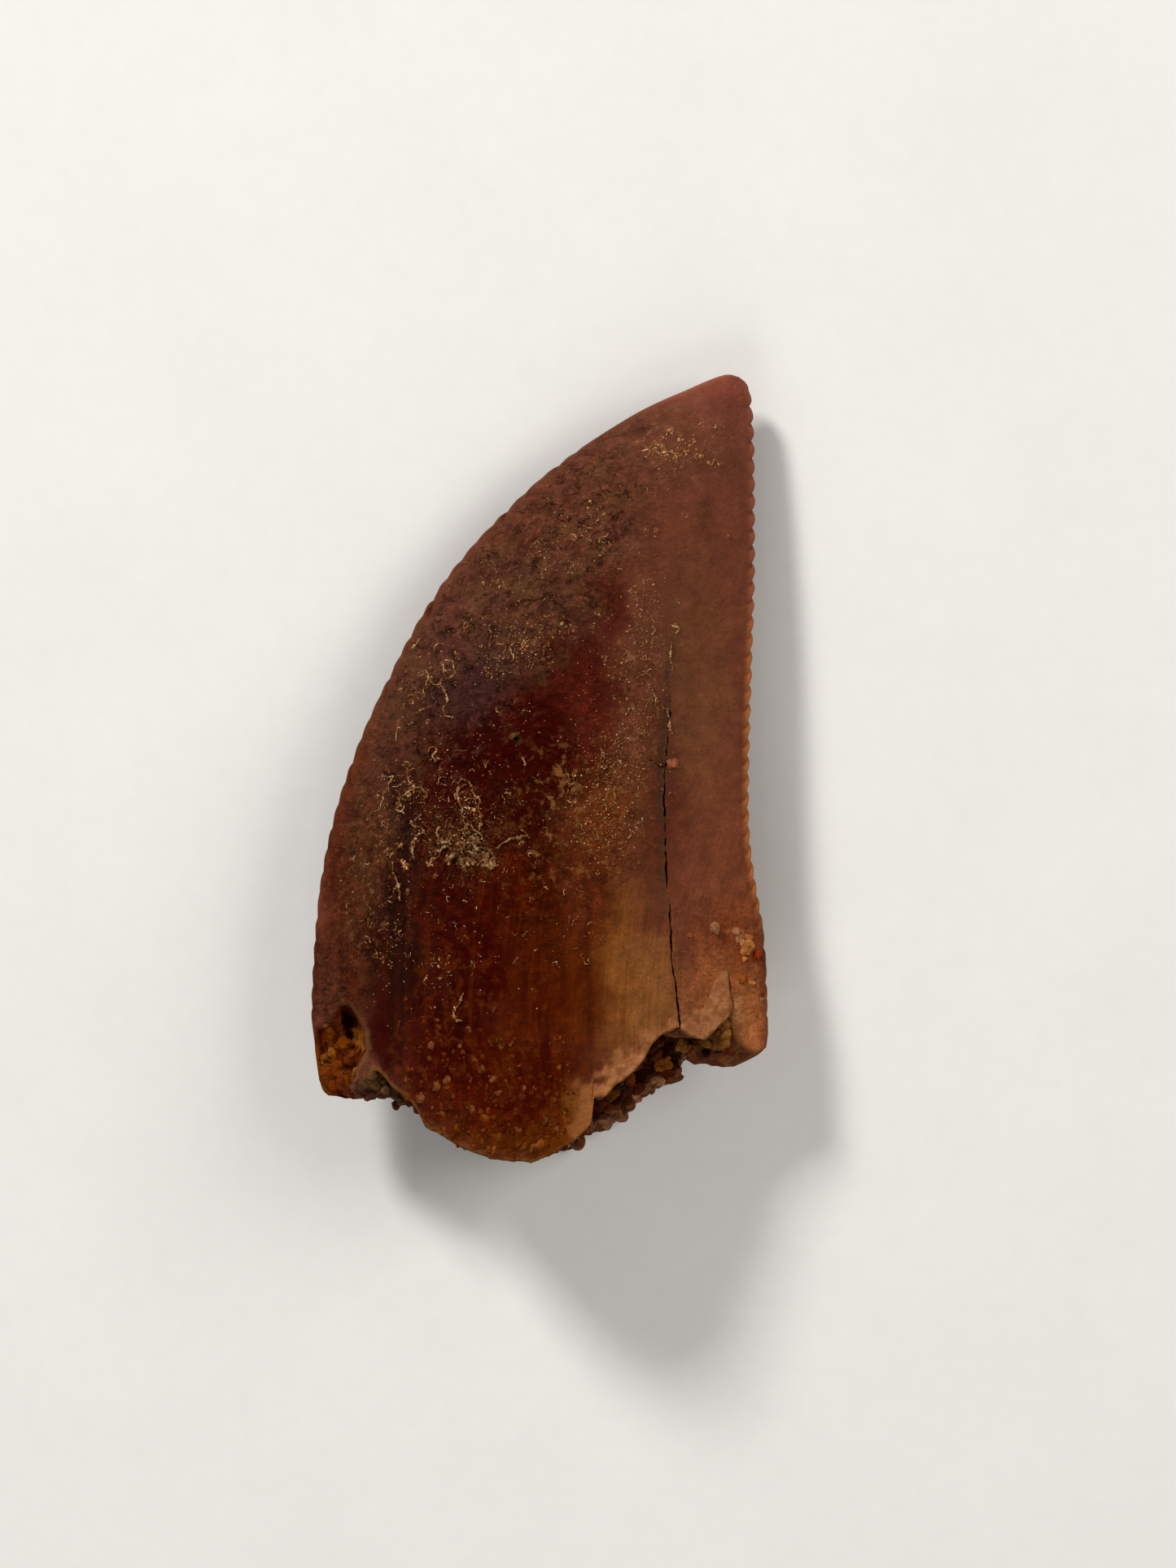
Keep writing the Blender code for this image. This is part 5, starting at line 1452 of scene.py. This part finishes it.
    # edges and denticles
    edgeGap = attributeOf(tree, "edgeGap")
    edgeGap = timesPlus(tree, mathOf(tree, "SUBTRACT", fine, 0.5), 0.6, edgeGap)
    edgeTone = mixOf(tree, remap(tree, up, -1.5, 3.0), rgb(look["edgeLow"]), rgb(look["edgeHigh"]))
    edgeTone = mixOf(tree, times(tree, remap(tree, blot, 0.50, 0.58, 0.0, 0.8), remap(tree, up, 1.0, -3.0)),
                     edgeTone, rgb(look["edgeBlot"]))
    colour = mixOf(tree, remap(tree, edgeGap, 0.34, 0.04, 0.0, 0.6), colour, edgeTone)
    groove = attributeOf(tree, "groove")
    onDenticle = remap(tree, attributeOf(tree, "edgeGap"), 0.26, 0.02)
    isBack = remap(tree, across, 2.0, 4.5)
    denticleTone = mixOf(tree, remap(tree, up, 6.0, 2.5), rgb(look["denticleHigh"]), rgb(look["denticle"]))
    onDenticle = times(tree, onDenticle, timesPlus(tree, isBack, 0.85, 0.05))
    onDenticle = times(tree, onDenticle, remap(tree, up, -5.0, -3.0))
    colour = mixOf(tree, onDenticle, colour, denticleTone)
    colour = mixOf(tree, remap(tree, groove, 0.2, 0.9, 0.0, 0.5), colour, rgb(look["groove"]))

    # the crusted peach band, and the thin gold line along the break, a painted highlight on its edge
    ragged = noiseOf(tree, place, 5.0, 4.0, 0.6).outputs[0]
    hollow = remap(tree, ragged, 0.62, 0.40, 0.0, 0.75)
    peachTone = mixOf(tree, hollow, rgb(look["peach"]), rgb(look["peachDeep"]))
    atLeft = remap(tree, across, 2.2, 1.2, 0.0, 0.85)
    peachTone = mixOf(tree, atLeft, peachTone, rgb(look["peachLeft"]))
    peach = timesPlus(tree, mathOf(tree, "SUBTRACT", fine, 0.5), 0.35, attributeOf(tree, "peach"))
    colour = mixOf(tree, remap(tree, peach, 0.05, 0.95, 0.0, 0.95), colour, peachTone)
    # painted highlight: a thin gold line along the broken edge
    rimGap = timesPlus(tree, ragged, 0.25, attributeOf(tree, "rimGap"))
    rimGap = timesPlus(tree, remap(tree, across, -1.5, -2.6), -0.05, rimGap)
    colour = mixOf(tree, remap(tree, rimGap, 0.24, 0.11, 0.0, 0.8), colour, rgb(look["rimHighlight"]))

    # the chipped corner's bare blocks of dentine and its pale rim
    chip = attributeOf(tree, "chip")
    block = attributeOf(tree, "block")
    dark, deep, gold, amber = (rgb(tint) for tint in look["dentine"])
    dentine = mixOf(tree, remap(tree, block, 0.25, 0.45), deep, amber)
    dentine = mixOf(tree, remap(tree, block, 0.65, 0.80), dentine, gold)
    dentine = mixOf(tree, remap(tree, ragged, 0.52, 0.38, 0.0, 0.8), dentine, dark)
    ridge = times(tree, attributeOf(tree, "ridge"), remap(tree, ragged, 0.35, 0.6, 0.2, 0.75))
    colour = mixOf(tree, ridge, colour, rgb(look["ridge"]))
    colour = mixOf(tree, remap(tree, chip, 0.3, 0.8), colour, dentine)

    # dried sediment: a thin film of grit and wandering threads
    dusty = 0.0
    for centre, radii, turn, strength in look["dustZones"]:
        dusty = mathOf(tree, "MAXIMUM", dusty, zoneMask(tree, wavy, centre, radii, turn, 0.6, strength))
    grit = useGroup(tree, gritGroup, Place=place, Scale=12.0, Cover=0.55)
    film = times(tree, grit["Mask"], times(tree, dusty, 0.30))
    colour = mixOf(tree, film, colour, rgb(look["dust"]))
    heap = zoneMask(tree, wavy, *look["heapGround"])
    colour = mixOf(tree, times(tree, heap, remap(tree, fine, 0.44, 0.60)), colour, rgb(look["dust"]))
    thread = useGroup(tree, threadGroup, Place=place, Scale=3.4, Width=0.016)["Mask"]
    threads = times(tree, thread, dusty)
    colour = mixOf(tree, times(tree, threads, 0.35), colour, rgb(look["thread"]))

    # painted shade in the shallow groove left of the crack, then the cracks, last so that nothing covers them
    shadedTrough = times(tree, attributeOf(tree, "shadedTrough"), remap(tree, fine, 0.64, 0.44, 0.25, 0.90))
    colour = mixOf(tree, shadedTrough, colour, rgb(look["troughShade"]))
    crack = attributeOf(tree, "crack")
    hair = remap(tree, attributeOf(tree, "hairGap"), 0.040, 0.012, 0.0, 0.8)
    dark = mathOf(tree, "MAXIMUM", remap(tree, crack, 0.2, 0.6), hair)
    colour = mixOf(tree, dark, colour, rgb(look["crackColour"]))

    # the broken wall: a pale enamel skin over brown dentine
    wallShare = attributeOf(tree, "wallShare")
    wallTone = mixOf(tree, remap(tree, wallShare, 0.80, 0.97), rgb(look["wall"]), rgb(look["wallRim"]))
    cells = useGroup(tree, crystalGroup, Place=place, Scale=4.5)["Tone"]
    wallTone = mixOf(tree, remap(tree, cells, 0.4, 0.9, 0.0, 0.45), wallTone, rgb(look["peachDeep"]))
    wallMottle = useGroup(tree, mottleGroup, Place=place, Scale=2.4, Amount=0.6)["Value"]
    wallTone = shadeBy(tree, wallTone, wallMottle)
    atCorner = zoneMask(tree, place, *look["corner"])
    wallTone = mixOf(tree, atCorner, wallTone, dentine)
    colour = mixOf(tree, attributeOf(tree, "broken"), colour, wallTone)

    rough = timesPlus(tree, film, 0.3, look["roughness"])
    rough = timesPlus(tree, noiseOf(tree, place, 3.0, 3.0).outputs[0], 0.16, rough)
    rough = mathOf(tree, "SUBTRACT", rough, 0.08)
    height = times(tree, fineStreak, times(tree, streaked, 0.5))
    height = timesPlus(tree, times(tree, fine, wear), 5.0, height)
    height = timesPlus(tree, times(tree, coarse, wear), 12.0, height)
    height = timesPlus(tree, crevice, -2.2, height)
    height = timesPlus(tree, raised, 2.0, height)
    height = timesPlus(tree, times(tree, grit["Height"], dusty), 0.6, height)
    height = timesPlus(tree, threads, 0.7, height)
    finishShader(tree, shader, colour, rough, height, look)
    return made


# Grains, sandstone and crust
sandLook = {
    "grain": {"roughness": 0.30, "specular": 0.02, "mottle": 0.6, "bump": (0.8, 0.00002),
              "specularTint": (1.0, 0.60, 0.35)},
    "crust": {"roughness": 0.30, "specular": 0.16, "mottle": 0.4, "bump": (0.8, 0.00001),
              "specularTint": (1.0, 0.75, 0.50)},
    "cement": {"dark": (0.014, 0.003, 0.001), "pale": (0.040, 0.010, 0.003), "specular": 0.02,
               "bump": (1.0, 0.00006), "specularTint": (1.0, 1.0, 1.0)},
}


def dressTinted(name, look):             # each grain's own tint, mottled and finely pitted
    made, tree, shader, place = startMaterial(name)
    mottle = useGroup(tree, mottleGroup, Place=place, Scale=3.0, Amount=look["mottle"])["Value"]
    colour = shadeBy(tree, attributeOf(tree, "tint", "Color"), mottle)
    grit = useGroup(tree, gritGroup, Place=place, Scale=20.0, Cover=0.5)
    rough = timesPlus(tree, grit["Mask"], 0.3, look["roughness"])
    finishShader(tree, shader, colour, rough, grit["Height"], look)
    return made


def dressSandstone():                    # dark cement between the grains, dusted with fines
    look = sandLook["cement"]
    made, tree, shader, place = startMaterial("sandstone_cement")
    grit = useGroup(tree, gritGroup, Place=place, Scale=9.0, Cover=0.8)
    colour = mixOf(tree, grit["Mask"], rgb(look["dark"]), rgb(look["pale"]))
    mottle = useGroup(tree, mottleGroup, Place=place, Scale=2.2, Amount=0.6)["Value"]
    rough = remap(tree, grit["Mask"], 0.0, 1.0, 0.55, 0.85)
    finishShader(tree, shader, shadeBy(tree, colour, mottle), rough, grit["Height"], look)
    return made


crown.data.materials.append(dressCrown())
sandBody.data.materials.append(dressSandstone())
grainFinish = dressTinted("sand_grain", sandLook["grain"])
crustFinish = dressTinted("dried_crust", sandLook["crust"])
for piece in (packedGrains, rimGrains, stuckGrains, buriedGrains):
    piece.data.materials.append(grainFinish)
for piece in (threads, crumbs, specksAndGlints):
    piece.data.materials.append(crustFinish)
print("finishes made")

for piece in (crown, sandBody, packedGrains, rimGrains, stuckGrains, buriedGrains, threads, crumbs, specksAndGlints):
    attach(piece, "root")
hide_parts("tooth_crown")
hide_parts("sandstone_fill")

# Floor, light and camera
studio = {
    "floorSize": 400, "floor": (0.80, 0.79, 0.77),
    "cameraAt": (1.283, -0.446), "planeAt": 2.4, "frameHeight": 41.9, "lens": 100,
    "world": (1.0, 0.98, 0.95), "worldStrength": 0.17,
    "lamps": [                           # turn and rise in degrees, distance, size, watts and colour
        (125, 33, 260, 50, 0.62, (1.0, 0.98, 0.95)),
        (20, 38, 260, 150, 0.30, (1.0, 0.97, 0.93)),
        (255, 34, 260, 150, 0.20, (1.0, 0.98, 0.96)),
    ],
}


def buildFloor():
    half = studio["floorSize"] / 2
    corners = np.array([(-half, -half, 0), (half, -half, 0), (half, half, 0), (-half, half, 0)], float)
    floor = makeObject("floor", corners, [(0, 1, 2, 3)])
    made, tree, shader, place = startMaterial("pale_paper")
    mottle = useGroup(tree, mottleGroup, Place=place, Scale=0.2, Amount=0.02)["Value"]
    tree.links.new(shadeBy(tree, rgb(studio["floor"]), mottle), shader.inputs["Base Color"])
    shader.inputs["Roughness"].default_value = 0.9
    floor.data.materials.append(made)


def buildLights():
    world = bpy.data.worlds.new("soft_room")
    bpy.context.scene.world = world
    world.use_nodes = True
    background = world.node_tree.nodes["Background"]
    background.inputs["Color"].default_value = rgb(studio["world"])
    background.inputs["Strength"].default_value = studio["worldStrength"]
    for turn, rise, distance, size, watts, colour in studio["lamps"]:
        lamp = bpy.data.lights.new("softbox", "AREA")
        lamp.size = size * mm
        lamp.energy = watts
        lamp.color = colour
        holder = bpy.data.objects.new("softbox", lamp)
        a, b = math.radians(turn), math.radians(rise)
        spotAt = (math.cos(a) * math.cos(b), math.sin(a) * math.cos(b), math.sin(b))
        holder.location = [distance * mm * k for k in spotAt]
        holder.rotation_euler = (math.pi / 2 - b, 0, a + math.pi / 2)
        bpy.context.scene.collection.objects.link(holder)


def buildCamera():
    camera = bpy.data.cameras.new("camera")
    camera.lens = studio["lens"]
    camera.sensor_width = 36
    camera.clip_start = 0.001
    holder = bpy.data.objects.new("camera", camera)
    rise = studio["frameHeight"] * studio["lens"] / camera.sensor_width + studio["planeAt"]
    holder.location = (studio["cameraAt"][0] * mm, studio["cameraAt"][1] * mm, rise * mm)
    bpy.context.scene.collection.objects.link(holder)
    bpy.context.scene.camera = holder


buildFloor()
buildLights()
buildCamera()
bpy.context.scene.view_settings.view_transform = "Standard"
print("floor, lights and camera placed")
